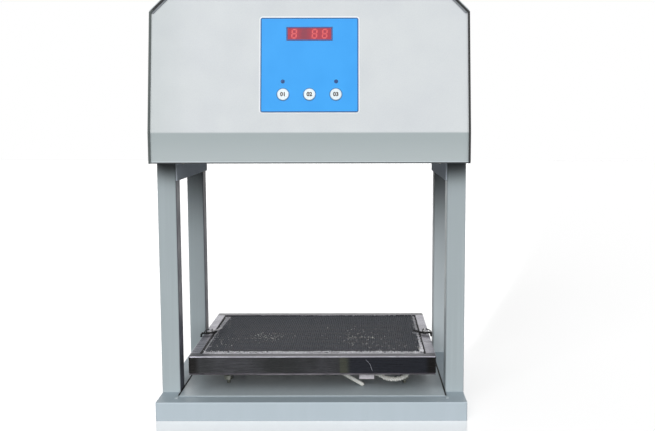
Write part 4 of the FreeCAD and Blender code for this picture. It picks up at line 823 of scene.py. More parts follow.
# Darker blue for the ring of painted shade round each key.
ROUND_KEY_SHADE = Moulded("round_key_shade", tone(58, 130, 190), tone(64, 138, 200), roughness=0.5, patch=0.02)
WINDOW_FRAME = Moulded("window_frame", tone(44, 44, 122), tone(56, 54, 132), roughness=0.3)
RED_WINDOW = TintedWindow("red_window", tone(192, 62, 78), tone(150, 66, 84))
LIT_DIGIT = Glow("lit_digit", tone(214, 58, 64), tone(202, 52, 58), 0.14)
GLASS_BRAID = Braid("glass_braid", tone(255, 255, 250), tone(226, 226, 216))
BOARD_GREEN = CircuitBoard("circuit_board")
CORE_STEEL = CoreSteel("core_steel")
CHALK = Chalk("chalk")
FIBRE_TUFT = Chalk("fibre_tuft", tone(240, 240, 244), tone(176, 174, 180))
BENCH = Floor("bench_floor")

FINISH_OF_SLOT: dict[str, Finish] = {
    "grey_paint": BASE_PAINT, "cover_paint": COVER_PAINT, "panel_paint": PANEL_PAINT, "plated_steel": ZINC,
    "stainless": TRAY_STEEL, "iron_gauze": GAUZE_WIRE, "heating_wire": HEATING_WIRE, "fibre_board": FIBRE,
    "white_ceramic": CERAMIC, "glass_braid": GLASS_BRAID, "black_rubber": RUBBER, "blue_film": BLUE_FILM,
    "red_window": RED_WINDOW, "white_key": WHITE_KEY, "lamp_blue": LAMP_LENS, "black_plastic": BLACK_PLASTIC,
    "guard_metal": GUARD_COAT, "circuit_board": BOARD_GREEN, "green_plastic": GREEN_PLASTIC,
    "core_steel": CORE_STEEL, "brass_pins": BRASS,
}

FINISH_OF_NODE: dict[str, Finish] = {
    "deck_plate": DECK_PAINT, "deck_screws": DECK_PAINT, "head_bottom_plate": HEAD_UNDER_PAINT,
    "tray_studs": STUD_STEEL,
    "post_front_left": POST_PAINT, "post_front_right": POST_PAINT, "post_rear_left": REAR_POST_SHADED_PAINT,
    "post_rear_right": REAR_RIGHT_LIT_PAINT, "side_rail_left": RAIL_PAINT, "side_rail_right": RAIL_PAINT,
}


def around(sides: int) -> list[Pair]:
    """Even steps round a circle, each as its cosine and sine."""
    return [(math.cos(turn), math.sin(turn)) for turn in (2 * math.pi * k / sides for k in range(sides))]


def held(value: float, low: float, high: float) -> float:
    """The value, or the nearer limit where it lies outside them."""
    return min(max(value, low), high)


def span(points: Line) -> tuple[Vector, Vector]:
    """The lowest and the highest corner of the box round some points."""
    low, high = (Vector([pick(point[k] for point in points) for k in range(3)]) for pick in (min, max))
    return low, high


def frames(line: Line, keep: Vector | None = None) -> list[tuple[Vector, Vector]]:
    """Two directions square to a line at each of its points, which don't twist along it.

    Args:
        line: The line's points.
        keep: A direction that the first of the two keeps near, if there is one.

    Returns:
        A pair of directions for each point.
    """
    side = keep
    found = []
    for before, after in zip([line[0], *line[:-1]], [*line[1:], line[-1]]):
        ahead = (after - before).normalized()
        near = side if keep is None else keep
        side = (ahead.orthogonal() if near is None else near - ahead * near.dot(ahead)).normalized()
        found.append((side, ahead.cross(side)))
    return found


class Shape:
    """Points and faces of one piece while it is being made."""

    def __init__(self) -> None:
        """Starts with nothing."""
        self.points: list[Vector] = []
        self.faces: list[tuple[int, ...]] = []
        self.soft: list[bool] = []

    def ring(self, points: Line) -> list[int]:
        """Adds points and returns their numbers."""
        first = len(self.points)
        self.points.extend(points)
        return list(range(first, len(self.points)))

    def face(self, numbers: Sequence[int], soft: bool = False) -> None:
        """Adds one face."""
        self.faces.append(tuple(numbers))
        self.soft.append(soft)

    def skin(self, first: Sequence[int], second: Sequence[int], soft: bool = True, closed: bool = True) -> None:
        """Joins two rows of points with faces.

        Args:
            first: One row.
            second: The other, with as many points.
            soft: Whether light runs smoothly over them.
            closed: Whether the rows are rings.
        """
        count = len(first)
        for k in range(count if closed else count - 1):
            after = (k + 1) % count
            self.face((first[k], first[after], second[after], second[k]), soft)

    def tube(self, path: Line, radius: float, sides: int = 8, capped: bool = True,
             taper: Sequence[float] | None = None) -> None:
        """A round bar along a path.

        Args:
            path: Its middle line.
            radius: Its radius.
            sides: How many flat sides stand for the round.
            capped: Whether its ends are closed.
            taper: A factor on the radius at each point.
        """
        rings = []
        for k, (point, (side, up)) in enumerate(zip(path, frames(path))):
            size = radius * taper[k] if taper else radius
            rings.append(self.ring([point + (side * a + up * b) * size for a, b in around(sides)]))
        for first, second in zip(rings, rings[1:]):
            self.skin(first, second)
        if capped:
            self.face(rings[0][::-1])
            self.face(rings[-1])

    def strip(self, outline: Line, push: Vector) -> None:
        """A flat outline pushed along a direction, closed on all sides."""
        near = self.ring(outline)
        far = self.ring([point + push for point in outline])
        self.skin(near, far, soft=False)
        self.face(near[::-1])
        self.face(far)

    def swept(self, path: Line, outlines: Sequence[Line], soft: bool = False) -> None:
        """A cross-section carried along a path, closed at both ends.

        Args:
            path: The points where it is set.
            outlines: The section's points at each of them, as steps away from the path.
            soft: Whether light runs smoothly over the faces.
        """
        rings = [self.ring([point + step for step in outline]) for point, outline in zip(path, outlines)]
        for first, second in zip(rings, rings[1:]):
            self.skin(first, second, soft)
        self.face(rings[0][::-1])
        self.face(rings[-1])

    def loop(self, rows: Sequence[Line]) -> None:
        """Closed rows of points, each joined to the next and the last to the first."""
        rings = [self.ring(row) for row in rows]
        for first, second in zip(rings, rings[1:] + rings[:1]):
            self.skin(first, second, soft=False)

    def washer(self, centre: Vector, axes: Line, radii: Pair, high: float,
               sides: int) -> None:
        """A flat ring.

        Args:
            centre: The middle of its lower face.
            axes: Two directions in that face, and the one that it looks in.
            radii: The inner and the outer radius.
            high: Its thickness.
            sides: How many flat sides stand for the round.
        """
        across, up, out = axes
        inner, outer = radii
        self.loop([[centre + out * level + (across * a + up * b) * reach for a, b in around(sides)]
                   for reach, level in ((inner, 0.0), (inner, high), (outer, high), (outer, 0.0))])

    def lump(self, centre: Vector, radius: float, chance: random.Random) -> None:
        """A small uneven grain, drawn from one sequence of random numbers."""
        corners = [Vector(c) for c in ((1, 0, 0), (0, 1, 0), (-1, 0, 0), (0, -1, 0), (0, 0, 1), (0, 0, -1))]
        sides = ((0, 1, 4), (1, 2, 4), (2, 3, 4), (3, 0, 4), (1, 0, 5), (2, 1, 5), (3, 2, 5), (0, 3, 5))
        spin = Matrix.Rotation(chance.uniform(0, math.pi), 3, "Z") @ Matrix.Rotation(chance.uniform(0, 1), 3, "X")
        first = self.ring([centre + spin @ corner * radius * chance.uniform(*LUMP_REACH) for corner in corners])[0]
        for side in sides:
            self.face([first + number for number in side])

    def piece(self, name: str, body: str, finish: Finish) -> Thing:
        """Turns the shape into an object that rides on a body.

        Args:
            name: The piece's name.
            body: The body that carries it.
            finish: Its surface.

        Returns:
            The new object.
        """
        mesh = bpy.data.meshes.new(name)
        mesh.from_pydata([tuple(point) for point in self.points], [], self.faces)
        mesh.polygons.foreach_set("use_smooth", self.soft)
        mesh.update()
        tidy = bmesh.new()
        tidy.from_mesh(mesh)
        bmesh.ops.recalc_face_normals(tidy, faces=tidy.faces)
        tidy.to_mesh(mesh)
        tidy.free()
        return dress(placed(name, mesh), body, finish)


def placed(name: str, data: bpy.types.ID) -> Thing:
    """Puts a new object that holds some data in the scene."""
    thing = bpy.data.objects.new(name, data)
    bpy.context.scene.collection.objects.link(thing)
    return thing


def mesh_of(curve: bpy.types.Curve) -> bpy.types.Mesh:
    """The mesh that a curve or a text makes."""
    holder = placed(curve.name, curve)
    bpy.context.view_layer.update()
    mesh = bpy.data.meshes.new_from_object(holder)
    bpy.data.objects.remove(holder)
    return mesh


def dress(thing: Thing, body: str, finish: Finish) -> Thing:
    """Gives an object its body and its finish.

    Args:
        thing: The object.
        body: The body that carries it.
        finish: Its surface.

    Returns:
        The same object.
    """
    thing.data.materials.clear()
    thing.data.materials.append(finish.material())
    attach(thing, body)
    log.info("%s rides on %s", thing.name, body)
    return thing


def islands(node: str) -> list[list[Vector]]:
    """The separate solids of a node.

    Args:
        node: The node's name.

    Returns:
        The points of each solid.
    """
    copy = bmesh.new()
    copy.from_mesh(frame["nodes"][node].data)
    bmesh.ops.remove_doubles(copy, verts=copy.verts, dist=WELD)
    left = set(copy.verts)
    found = []
    while left:
        open_points = [left.pop()]
        group = []
        while open_points:
            point = open_points.pop()
            group.append(point.co.copy())
            fresh = left.intersection(edge.other_vert(point) for edge in point.link_edges)
            left -= fresh
            open_points.extend(fresh)
        found.append(group)
    copy.free()
    return sorted(found, key=lambda group: tuple(round(v, 4) for v in centre_of(group)))


def centre_of(points: Line) -> Vector:
    """The middle of the box round some points."""
    low, high = span(points)
    return (low + high) / 2


def centreline(name: str, points: Route) -> list[Vector]:
    """The smooth line of a lead that passes along its route.

    Args:
        name: The lead's name.
        points: The route's points, in metres.

    Returns:
        Points close together along the line.
    """
    curve = bpy.data.curves.new(name + "_route", "CURVE")
    curve.dimensions = "3D"
    curve.resolution_u = 24
    spline = curve.splines.new("NURBS")
    spline.points.add(len(points) - 1)
    for target, point in zip(spline.points, points):
        target.co = (*point, 1.0)
    spline.order_u = 3
    spline.use_endpoint_u = True
    mesh = mesh_of(curve)
    line = [vertex.co.copy() for vertex in mesh.vertices]
    bpy.data.meshes.remove(mesh)
    return line


def evened(line: Line, step: float) -> list[Vector]:
    """The same line with its points a step apart."""
    spread = [line[0].copy()]
    left = step
    for first, second in zip(line, line[1:]):
        run = second - first
        gone = 0.0
        while run.length - gone >= left:
            gone += left
            spread.append(first + run * (gone / run.length))
            left = step
        left -= run.length - gone
    if (line[-1] - spread[-1]).length <= step / 2:
        spread.pop()
    return [*spread, line[-1].copy()]


@dataclass
class Studio:
    """Camera, lights, background and the plain floor."""

    camera_place: Point = (0.06324, -1.16904, 0.39874)
    pitch: float = 0.0968
    roll: float = -0.0015
    lens: float = 44.224
    sensor: float = 36.0
    shift_x: float = -0.04841
    shift_y: float = -0.03249
    near: float = 0.02
    far: float = 30.0
    floor_side: float = 12.0
    sky: float = 0.2
    sky_seen: float = 1.0
    lamps: Sequence[tuple[str, Point, float, float]] = (
        ("key_light", (-0.8, -2.2, 1.65), 40.0, 1.62), ("fill_light", (1.4, -2.0, 1.4), 50.0, 0.86),
        ("top_light", (0.0, -0.5, 2.1), 60.0, 0.55), ("back_light", (-0.5, 2.4, 0.3), 50.0, 0.28))

    def build(self) -> None:
        """Makes everything."""
        self.camera()
        self.background()
        self.floor()
        for lamp in self.lamps:
            self.lamp(*lamp)
        bpy.context.scene.view_settings.view_transform = "Standard"
        log.info("studio ready")

    def camera(self) -> None:
        """Sets the camera where the photograph was taken from."""
        data = bpy.data.cameras.new("photo_camera")
        data.sensor_width, data.lens = self.sensor, self.lens
        data.shift_x, data.shift_y = self.shift_x, self.shift_y
        data.clip_start, data.clip_end = self.near, self.far
        camera = placed("photo_camera", data)
        tilt = Matrix.Rotation(QUARTER - self.pitch, 4, "X") @ Matrix.Rotation(self.roll, 4, "Z")
        camera.matrix_world = Matrix.Translation(self.camera_place) @ tilt
        bpy.context.scene.camera = camera

    def background(self) -> None:
        """White all round: plain to the eye and to mirrors, softer as a light."""
        world = bpy.data.worlds.new("studio_world")
        recipe = Recipe(world)
        plain, seen = (recipe.add("ShaderNodeBackground", {"Color": WHITE, "Strength": strength}).outputs[0]
                       for strength in (self.sky, self.sky_seen))
        recipe.output(recipe.add("ShaderNodeMixShader", {0: recipe.seen(), 1: plain, 2: seen}).outputs[0])
        bpy.context.scene.world = world

    def floor(self) -> None:
        """Lays the floor under the object."""
        half = self.floor_side / 2
        mesh = bpy.data.meshes.new("floor")
        corners = [(x * half, y * half, cad_low.z) for x, y in ((-1, -1), (1, -1), (1, 1), (-1, 1))]
        mesh.from_pydata(corners, [], [(0, 1, 2, 3)])
        mesh.materials.append(BENCH.material())
        floor = placed("floor", mesh)

    def lamp(self, name: str, place: Point, spread: float, power: float) -> None:
        """Adds one soft far lamp that looks at the middle of the object.

        Args:
            name: The lamp's name.
            place: Where it hangs.
            spread: How wide it seems from the object, in degrees, which softens its shadows.
            power: Its power in watts on each square metre.
        """
        data = bpy.data.lights.new(name, "SUN")
        data.angle = math.radians(spread)
        data.energy = power
        lamp = placed(name, data)
        look = (cad_low + cad_high) / 2 - Vector(place)
        lamp.location = place
        lamp.rotation_euler = look.to_track_quat("-Z", "Y").to_euler()


@dataclass
class Lead:
    """A free lead of twisted glass yarn."""

    name: str
    node: str
    route: Route
    length: float
    diameter: float
    strands: int = 3
    lay: float = 1.45
    step: float = 0.0006
    sides: int = 9
    fuzz: int = 60
    fibre: float = 0.00009
    fibre_reach: Pair = (0.0008, 0.0018)
    swell: float = 0.0
    knot: float = 0.0031
    press: float = 1.02
    ahead: int = 4
    root: float = 0.4
    seed: int = 7

    def build(self) -> Thing:
        """Returns:
            The lead.
        """
        line = evened(centreline(self.name, self.route), self.step)
        shape = Shape()
        sides = frames(line)
        radius = self.diameter / 2
        strand = radius / (1 + 1 / math.sin(math.pi / self.strands)) * self.press
        reach = radius - strand
        swells = [1 + self.swell * math.cos(2 * math.pi * k * self.step / self.knot) for k in range(len(line))]
        for number in range(self.strands):
            path = []
            for k, (point, (side, up)) in enumerate(zip(line, sides)):
                turn = 2 * math.pi * (k * self.step / (self.lay * self.diameter) + number / self.strands)
                path.append(point + (side * math.cos(turn) + up * math.sin(turn)) * reach * swells[k])
            shape.tube(path, strand, self.sides, taper=swells)
        self.add_fuzz(shape, line, sides)
        lead = shape.piece(self.name, "root", GLASS_BRAID)
        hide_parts(self.node)
        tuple(self.route[0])
        [tuple(point) for point in line]
        return lead

    def add_fuzz(self, shape: Shape, line: Line, sides: Sequence[tuple[Vector, Vector]]) -> None:
        """Fine loose fibres that stand out from the yarn.

        Args:
            shape: The lead so far.
            line: Its middle line.
            sides: The directions square to it.
        """
        chance = random.Random(self.seed)
        for _ in range(self.fuzz):
            k = chance.randrange(self.ahead, len(line) - 2 * self.ahead)
            turn = chance.uniform(0, 2 * math.pi)
            side, up = sides[k]
            out = side * math.cos(turn) + up * math.sin(turn)
            ahead = (line[k + self.ahead] - line[k]).normalized()
            start = line[k] + out * self.diameter * self.root
            reach = chance.uniform(*self.fibre_reach)
            path = [start, start + out * reach * 0.5 + ahead * reach, start + out * reach * 0.6 + ahead * reach * 2]
            shape.tube(path, self.fibre, 3)


@dataclass
class Gauze:
    """Woven wire gauze over the heating tray, with its border and the marks of use on it."""

    pitch: float = 0.0025
    wire: float = 0.00034
    border: float = 0.0007
    node: str = "wire_gauze"
    stretch: float = 1.2
    wave: float = 0.00008
    ripples: Pair = (47.0, 61.0)
    swells: Pair = (23.0, 31.0)
    swell: float = 0.6
    lean: float = 0.05
    grains: int = 290
    grain_sizes: Sequence[float] = (0.0003, 0.0004, 0.00045, 0.00055, 0.0007)
    inset: float = 0.004
    drifts: Sequence[tuple[float, float, float, float]] = (
        (-0.066, -0.021, 0.019, 0.012), (0.064, -0.034, 0.018, 0.028), (0.1, -0.07, 0.03, 0.012),
        (-0.13, -0.050, 0.013, 0.024))
    grain_lift: float = 0.3
    stray_lift: float = 0.4
    row_levels: Pair = (-1.0, 0.4)
    column_levels: Pair = (1.1, -0.3)
    hem_steps: int = 40
    strays: Route = ((0.1535, -0.0835, 0.0016), (0.0825, -0.0286, 0.0012), (0.015, 0.026, 0.0009))
    seed: int = 11

    def build(self) -> None:
        """Makes the gauze and the residue on it."""
        self.low, self.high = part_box(self.node)
        self.middle = self.low.z + self.wire * 2
        gauze = self.weave()
        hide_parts(self.node)
        self.residue()

    def height(self, x: float, y: float) -> float:
        """The gauze's slight waviness at a place."""
        ripple = math.sin(x * self.ripples[0]) * math.cos(y * self.ripples[1])
        return self.wave * (ripple + self.swell * math.sin(x * self.swells[0] + y * self.swells[1]))

    def place(self, x: float, y: float, rise: float) -> Vector:
        """A point of the net, whose left side slants inwards towards the back."""
        share = (self.high.x - x) / (self.high.x - self.low.x)
        return Vector((x + self.lean * max(y, 0.0) * share, y, self.middle + self.height(x, y) + rise))

    def weave(self) -> Thing:
        """Crosses two sets of crimped wires over and under.

        Returns:
            The gauze.
        """
        shape = Shape()
        wide = self.high.x - self.low.x - 2 * self.border
        deep = self.high.y - self.low.y - 2 * self.border
        columns = round(wide / (self.pitch * self.stretch))
        rows = round(deep / self.pitch)
        xs = [self.low.x + self.border + wide * k / columns for k in range(columns + 1)]
        ys = [self.low.y + self.border + deep * k / rows for k in range(rows + 1)]
        for row, y in enumerate(ys):
            path = [self.place(x, y, self.wire * self.row_levels[(row + k) % 2]) for k, x in enumerate(xs)]
            shape.tube(path, self.wire, 4, capped=False)
        for column, x in enumerate(xs):
            path = [self.place(x, y, self.wire * self.column_levels[(column + k) % 2]) for k, y in enumerate(ys)]
            shape.tube(path, self.wire, 4, capped=False)
        self.hem(shape)
        return shape.piece("woven_gauze", "root", GAUZE_WIRE)

    def hem(self, shape: Shape) -> None:
        """The folded border wire round the gauze."""
        low, high = self.low, self.high
        corners = [Vector(spot) for spot in ((low.x, low.y), (high.x, low.y), (high.x, high.y), (low.x, high.y))]
        for first, second in zip(corners, corners[1:] + corners[:1]):
            path = []
            for k in range(self.hem_steps + 1):
                x, y = first.lerp(second, k / self.hem_steps)
                path.append(self.place(x - math.copysign(self.border, x), y - math.copysign(self.border, y), 0.0))
            shape.tube(path, self.border, 6)

    def residue(self) -> None:
        """White grains left on the wires in two drifts, and a few strays."""
        chance = random.Random(self.seed)
        shape = Shape()
        for k in range(self.grains):
            x, y, wide, deep = self.drifts[k % 5 // 2 if k % 5 < 4 else 2 + k % 2]
            x = held(chance.gauss(x, wide), self.low.x + self.inset, self.high.x - self.inset)
            y = held(chance.gauss(y, deep), self.low.y + self.inset, self.high.y - self.inset)
            size = chance.choice(self.grain_sizes)
            shape.lump(Vector((x, y, self.high.z + size * self.grain_lift)), size, chance)
        for x, y, size in self.strays:
            x = min(x, self.high.x - self.inset / 2)
            shape.lump(Vector((x, y, self.high.z + size * self.stray_lift)), size, chance)
        shape.piece("white_residue", "root", CHALK)


@dataclass
class BoardEdge:
    """Frayed fibres along the bare strips of the board in front of and beside the gauze."""

    tufts: int = 620
    heaps: int = 1500
    side_tufts: int = 160
    thread: float = 0.00024
    thicker: Pair = (0.7, 1.5)
    lengths: Pair = (0.003, 0.011)
    curls: Pair = (-0.35, 0.35)
    rises: Pair = (0.0003, 0.0014)
    swing: float = 0.5
    tuft_steps: int = 5
    ends: Pair = (0.003, 0.006)
    lip: float = 0.001
    front_tufts: Pair = (-0.0028, 0.0014)
    front_line: float = 0.0014
    front_waves: Sequence[Pair] = ((0.0009, 90.0), (0.0006, 370.0))
    corner_growth: float = 1.3
    rear_growth: float = 0.6
    sunk: float = 0.3
    corner_x: Pair = (-0.003, 0.0022)
    corner_y: Pair = (-0.002, 0.011)
    front_x: Pair = (0.0, 0.09)
    front_y: Pair = (0.0, 0.0008)
    side_x: Pair = (0.0006, 0.0012)
    side_limits: Pair = (-0.003, 0.0026)
    side_y: Pair = (0.0, 0.05)
    rear_x: Pair = (0.05, 0.06)
    rear_y: Pair = (0.0006, 0.0005)
    sizes: Sequence[float] = (0.0004, 0.0006, 0.0008)
    corner_heaps: int = 60
    inset: float = 0.004
    seed: int = 23

    def build(self) -> None:
        """Makes the fibres."""
        low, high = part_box("insulation_board")
        gauze_low, gauze_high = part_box("wire_gauze")
        chance = random.Random(self.seed)
        shape = Shape()
        for _ in range(self.tufts):
            x = chance.uniform(low.x + self.ends[0], high.x - self.ends[1])
            y = gauze_low.y + chance.gauss(*self.front_tufts)
            self.tuft(shape, chance, Vector((x, held(y, low.y + self.lip, gauze_low.y), high.z)), RIGHT)
        for k in range(self.heaps):
            size = chance.choice(self.sizes)
            if k < self.corner_heaps:
                x = gauze_high.x + chance.uniform(*self.corner_x)
                y = gauze_low.y + chance.uniform(*self.corner_y)
                size *= self.corner_growth
            elif k % 6 < 4:
                x = held(chance.gauss(*self.front_x), low.x + self.inset, high.x - 3 * self.inset)
                drift = sum(depth * math.sin(x * turn) for depth, turn in self.front_waves)
                y = gauze_low.y - self.front_line + drift + chance.gauss(*self.front_y)
            elif k % 6 == 4:
                x = gauze_high.x + held(chance.gauss(*self.side_x), *self.side_limits)
                y = gauze_low.y + abs(chance.gauss(*self.side_y))
            else:
                x = min(high.x - self.inset, chance.gauss(*self.rear_x))
                y = gauze_high.y + chance.gauss(*self.rear_y)
                size *= self.rear_growth
            shape.lump(Vector((x, y, gauze_high.z + size * self.sunk)), size, chance)
        for _ in range(self.side_tufts):
            edge = chance.choice((gauze_low.x - self.lip, gauze_high.x + self.lip))
            y = chance.uniform(gauze_low.y, gauze_high.y - self.inset)
            self.tuft(shape, chance, Vector((edge, y, high.z)), BACK)
        shape.piece("board_fibres", "root", FIBRE_TUFT)

    def tuft(self, shape: Shape, chance: random.Random, start: Vector, along: Vector) -> None:
        """One curled fibre that lies on the board.

        Args:
            shape: The fibres so far.
            chance: The sequence of random numbers.
            start: Where it starts.
            along: Its rough direction.
        """
        ahead = Matrix.Rotation(chance.gauss(0.0, self.swing), 3, "Z") @ along
        side = UP.cross(ahead)
        length = chance.uniform(*self.lengths)
        curl = chance.uniform(*self.curls)
        rise = chance.uniform(*self.rises)
        path = []
        for k in range(self.tuft_steps + 1):
            share = k / self.tuft_steps
            lift = self.thread + rise * math.sin(math.pi * share)
            path.append(start + ahead * length * share + side * length * curl * share * share + UP * lift)
        shape.tube(path, self.thread * chance.uniform(*self.thicker), 3)


@dataclass
class WireTie:
    """Twisted iron wire that ties the gauze to a screw on the tray's rim."""

    side: Side
    line: Route
    tails: Sequence[Route]
    bright: Route
    node: str
    wire: float = 0.00085
    twist: float = 0.0056
    step: float = 0.0006
    sides: int = 7
    head: float = 0.0029
    head_height: float = 0.0014
    head_turn: float = 0.3
    screw: Point = (0.15975, 0.0, 0.079)

    def build(self) -> None:
        """Makes the pair of wires, their tails and the screw."""
        shape = Shape()
        name = self.side.name.lower()
        line = evened(centreline(self.node, self.line), self.step)
        for phase in (0.0, math.pi):
            path = []
            for k, (point, (across, up)) in enumerate(zip(line, frames(line, BACK))):
                turn = 2 * math.pi * k * self.step / self.twist + phase
                path.append(point + (across * math.cos(turn) + up * math.sin(turn)) * self.wire)
            shape.tube(path, self.wire, self.sides)
        for tail in self.tails:
            shape.tube(evened(centreline(self.node, tail), self.step), self.wire, self.sides)
        tie = shape.piece("twisted_tie_" + name, "root", TIE_WIRE)
        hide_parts(self.node)
        # Painted highlight: a pale piece of wire along the tie.
        shine = Shape()
        shine.tube(evened(centreline(self.node, self.bright), self.step), self.wire, self.sides)
        shine.piece("bright_tie_" + name, "root", BRIGHT_WIRE)
        bolt = Shape()
        x, y, z = self.screw
        screw_head(bolt, Vector((x * self.side.value, y, z)), UP, self.head, self.head_height, self.head_turn)
        bolt.piece("tie_screw_" + name, "root", ZINC)


RECESS_ARM = 0.55
RECESS_HALF = 0.13
RECESS_FLOOR = 0.45
HEAD_PROFILE = ((0.72, 0.97), (0.88, 0.8), (0.97, 0.5), (1.0, 0.0))


def screw_head(shape: Shape, place: Vector, out: Vector, radius: float, height: float, spin: float) -> None:
    """A domed screw head with a crosswise recess.

    Args:
        shape: The heads so far.
        place: The middle of the face that the head sits on.
        out: Which way the head points.
        radius: The head's radius.
        height: How far it stands out.
        spin: How far the recess is turned, in radians.
    """
    across = out.orthogonal().normalized()
    up = out.cross(across)
    arm, half = RECESS_ARM, RECESS_HALF
    corners = [(arm, 0.0), (arm, half), ((arm + half) / 2, half), (half, half), (half, (arm + half) / 2), (half, arm)]
    cross = [(math.hypot(x, y), math.atan2(y, x) + QUARTER * k) for k in range(4) for x, y in corners]

    def ring(scale: float | None, level: float) -> list[int]:
        """One ring of points, on the recess's outline or on a circle of that radius."""
        points = []
        for reach, turn in cross:
            distance = radius * (reach if scale is None else scale)
            direction = across * math.cos(turn + spin) + up * math.sin(turn + spin)
            points.append(place + direction * distance + out * height * level)
        return shape.ring(points)

    floor = ring(None, RECESS_FLOOR)
    rim = ring(None, 1.0)
    rings = [ring(*step) for step in HEAD_PROFILE]
    shape.face(floor)
    shape.skin(floor, rim, soft=False)
    shape.skin(rim, rings[0], soft=False)
    for first, second in zip(rings, rings[1:]):
        shape.skin(first, second)
    shape.face(rings[-1])


@dataclass
class ScrewSet:
    """Pan-head screws that take the place of one node's plain ones."""

    node: str
    out: Point
    radius: float = 0.0029
    height: float = 0.0014
    shank: float = 0.0014
    sides: int = 10
    seed: int = 3

    def build(self) -> None:
        """Makes a detailed screw where each plain one sits."""
        chance = random.Random(self.seed)
        out = Vector(self.out)
        shape = Shape()
        for group in islands(self.node):
            levels = [point.dot(out) for point in group]
            centre = centre_of(group)
            top = max(levels) - self.height
            seat = centre + out * (top - centre.dot(out))
            screw_head(shape, seat, out, self.radius, self.height, chance.uniform(0, QUARTER))
            shape.tube([seat, seat - out * (top - min(levels))], self.shank, self.sides)
        screws = shape.piece(self.node + "_detailed", "root", ZINC)
        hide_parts(self.node)


@dataclass
class SleeveEnd:
    """Open end of a flat woven sleeve that leans from the tray's floor to the deck."""

    node: str = "sleeve_end"
    width: float = 0.0050
    thickness: float = 0.0026
    rib: float = 0.0011
    rib_depth: float = 0.00016
    step: float = 0.00025
    sides: int = 20
    play: float = 0.0002
    foot: float = 0.0015
    round_share: float = 0.2
    round_least: float = 0.3
    flat: float = 0.6
    spread: float = 0.4
    bend: float = 0.3
    fibres: int = 34
    fibre: float = 0.0001
    fibre_root: float = 0.001
    fibre_reach: Pair = (0.0004, 0.0011)
    seed: int = 31

    def build(self) -> None:
        """Makes the ribbed sleeve with its rounded, frayed foot."""
        low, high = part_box(self.node)
        chance = random.Random(self.seed)
        y = (low.y + high.y) / 2
        start = Vector((low.x + self.width, y, high.z - self.play))
        end = Vector((high.x + self.play, y, low.z + self.foot))
        run = (end - start).normalized()
        up = BACK.cross(run).normalized()
        length = (end - start).length
        steps = int(length / self.step)
        path = []
        outlines = []
        for k in range(steps + 1):
            gone = length * k / steps
            left = length - gone
            near = max(1.0 - left / (self.width * self.round_share), 0.0)
            rounded = math.sqrt(max(1.0 - near ** 2, self.round_least))
            swell = self.rib_depth * math.cos(2 * math.pi * gone / self.rib)
            path.append(start + run * gone)
            half = (self.width / 2 + swell) * rounded
            thick = (self.thickness / 2 + swell) * (self.flat + (1 - self.flat) * rounded)
            outlines.append([up * a * half + BACK * b * thick for a, b in around(self.sides)])
        shape = Shape()
        shape.swept(path, outlines, soft=True)
        for _ in range(self.fibres):
            aside = up * chance.uniform(-self.spread, self.spread) * self.width
            tip = end + aside + BACK * chance.uniform(-0.5, 0.5) * self.thickness
            bend = up * chance.uniform(-self.bend, self.bend) + BACK * chance.uniform(-self.bend, self.bend)
            reach = chance.uniform(*self.fibre_reach)
            path = [tip - run * self.fibre_root, tip + run * reach * 0.5, tip + (run + bend) * reach]
            shape.tube(path, self.fibre, 3)
        sleeve = shape.piece("woven_sleeve_end", "root", GLASS_BRAID)
        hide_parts(self.node)


class PanelPlane:
    """The leaning front panel as a flat place with its own directions."""

    def __init__(self) -> None:
        """Reads the lean from the way the keys travel."""
        travel = next(joint for joint in frame["joints"] if joint["name"] == "press_middle")
        self.out = -Vector(travel["axis"]).normalized()
        self.up = self.out.cross(RIGHT).normalized()

    def extent(self, node: str) -> tuple[Vector, Vector]:
        """Lowest and highest place of a node, as steps to the right, up and out."""
        return span([self.steps(vertex.co) for vertex in frame["nodes"][node].data.vertices])

    def steps(self, point: Vector) -> Vector:
        """A point as steps to the right, up and out."""
        return Vector((point.x, point.dot(self.up), point.dot(self.out)))

    def point(self, right: float, up: float, out: float) -> Vector:
        """The point that lies those steps away from the frame's origin."""
        return RIGHT * right + self.up * up + self.out * out

    def axes(self) -> tuple[Vector, Vector, Vector]:
        """Its three directions: to the right, up and out."""
        return RIGHT, self.up, self.out


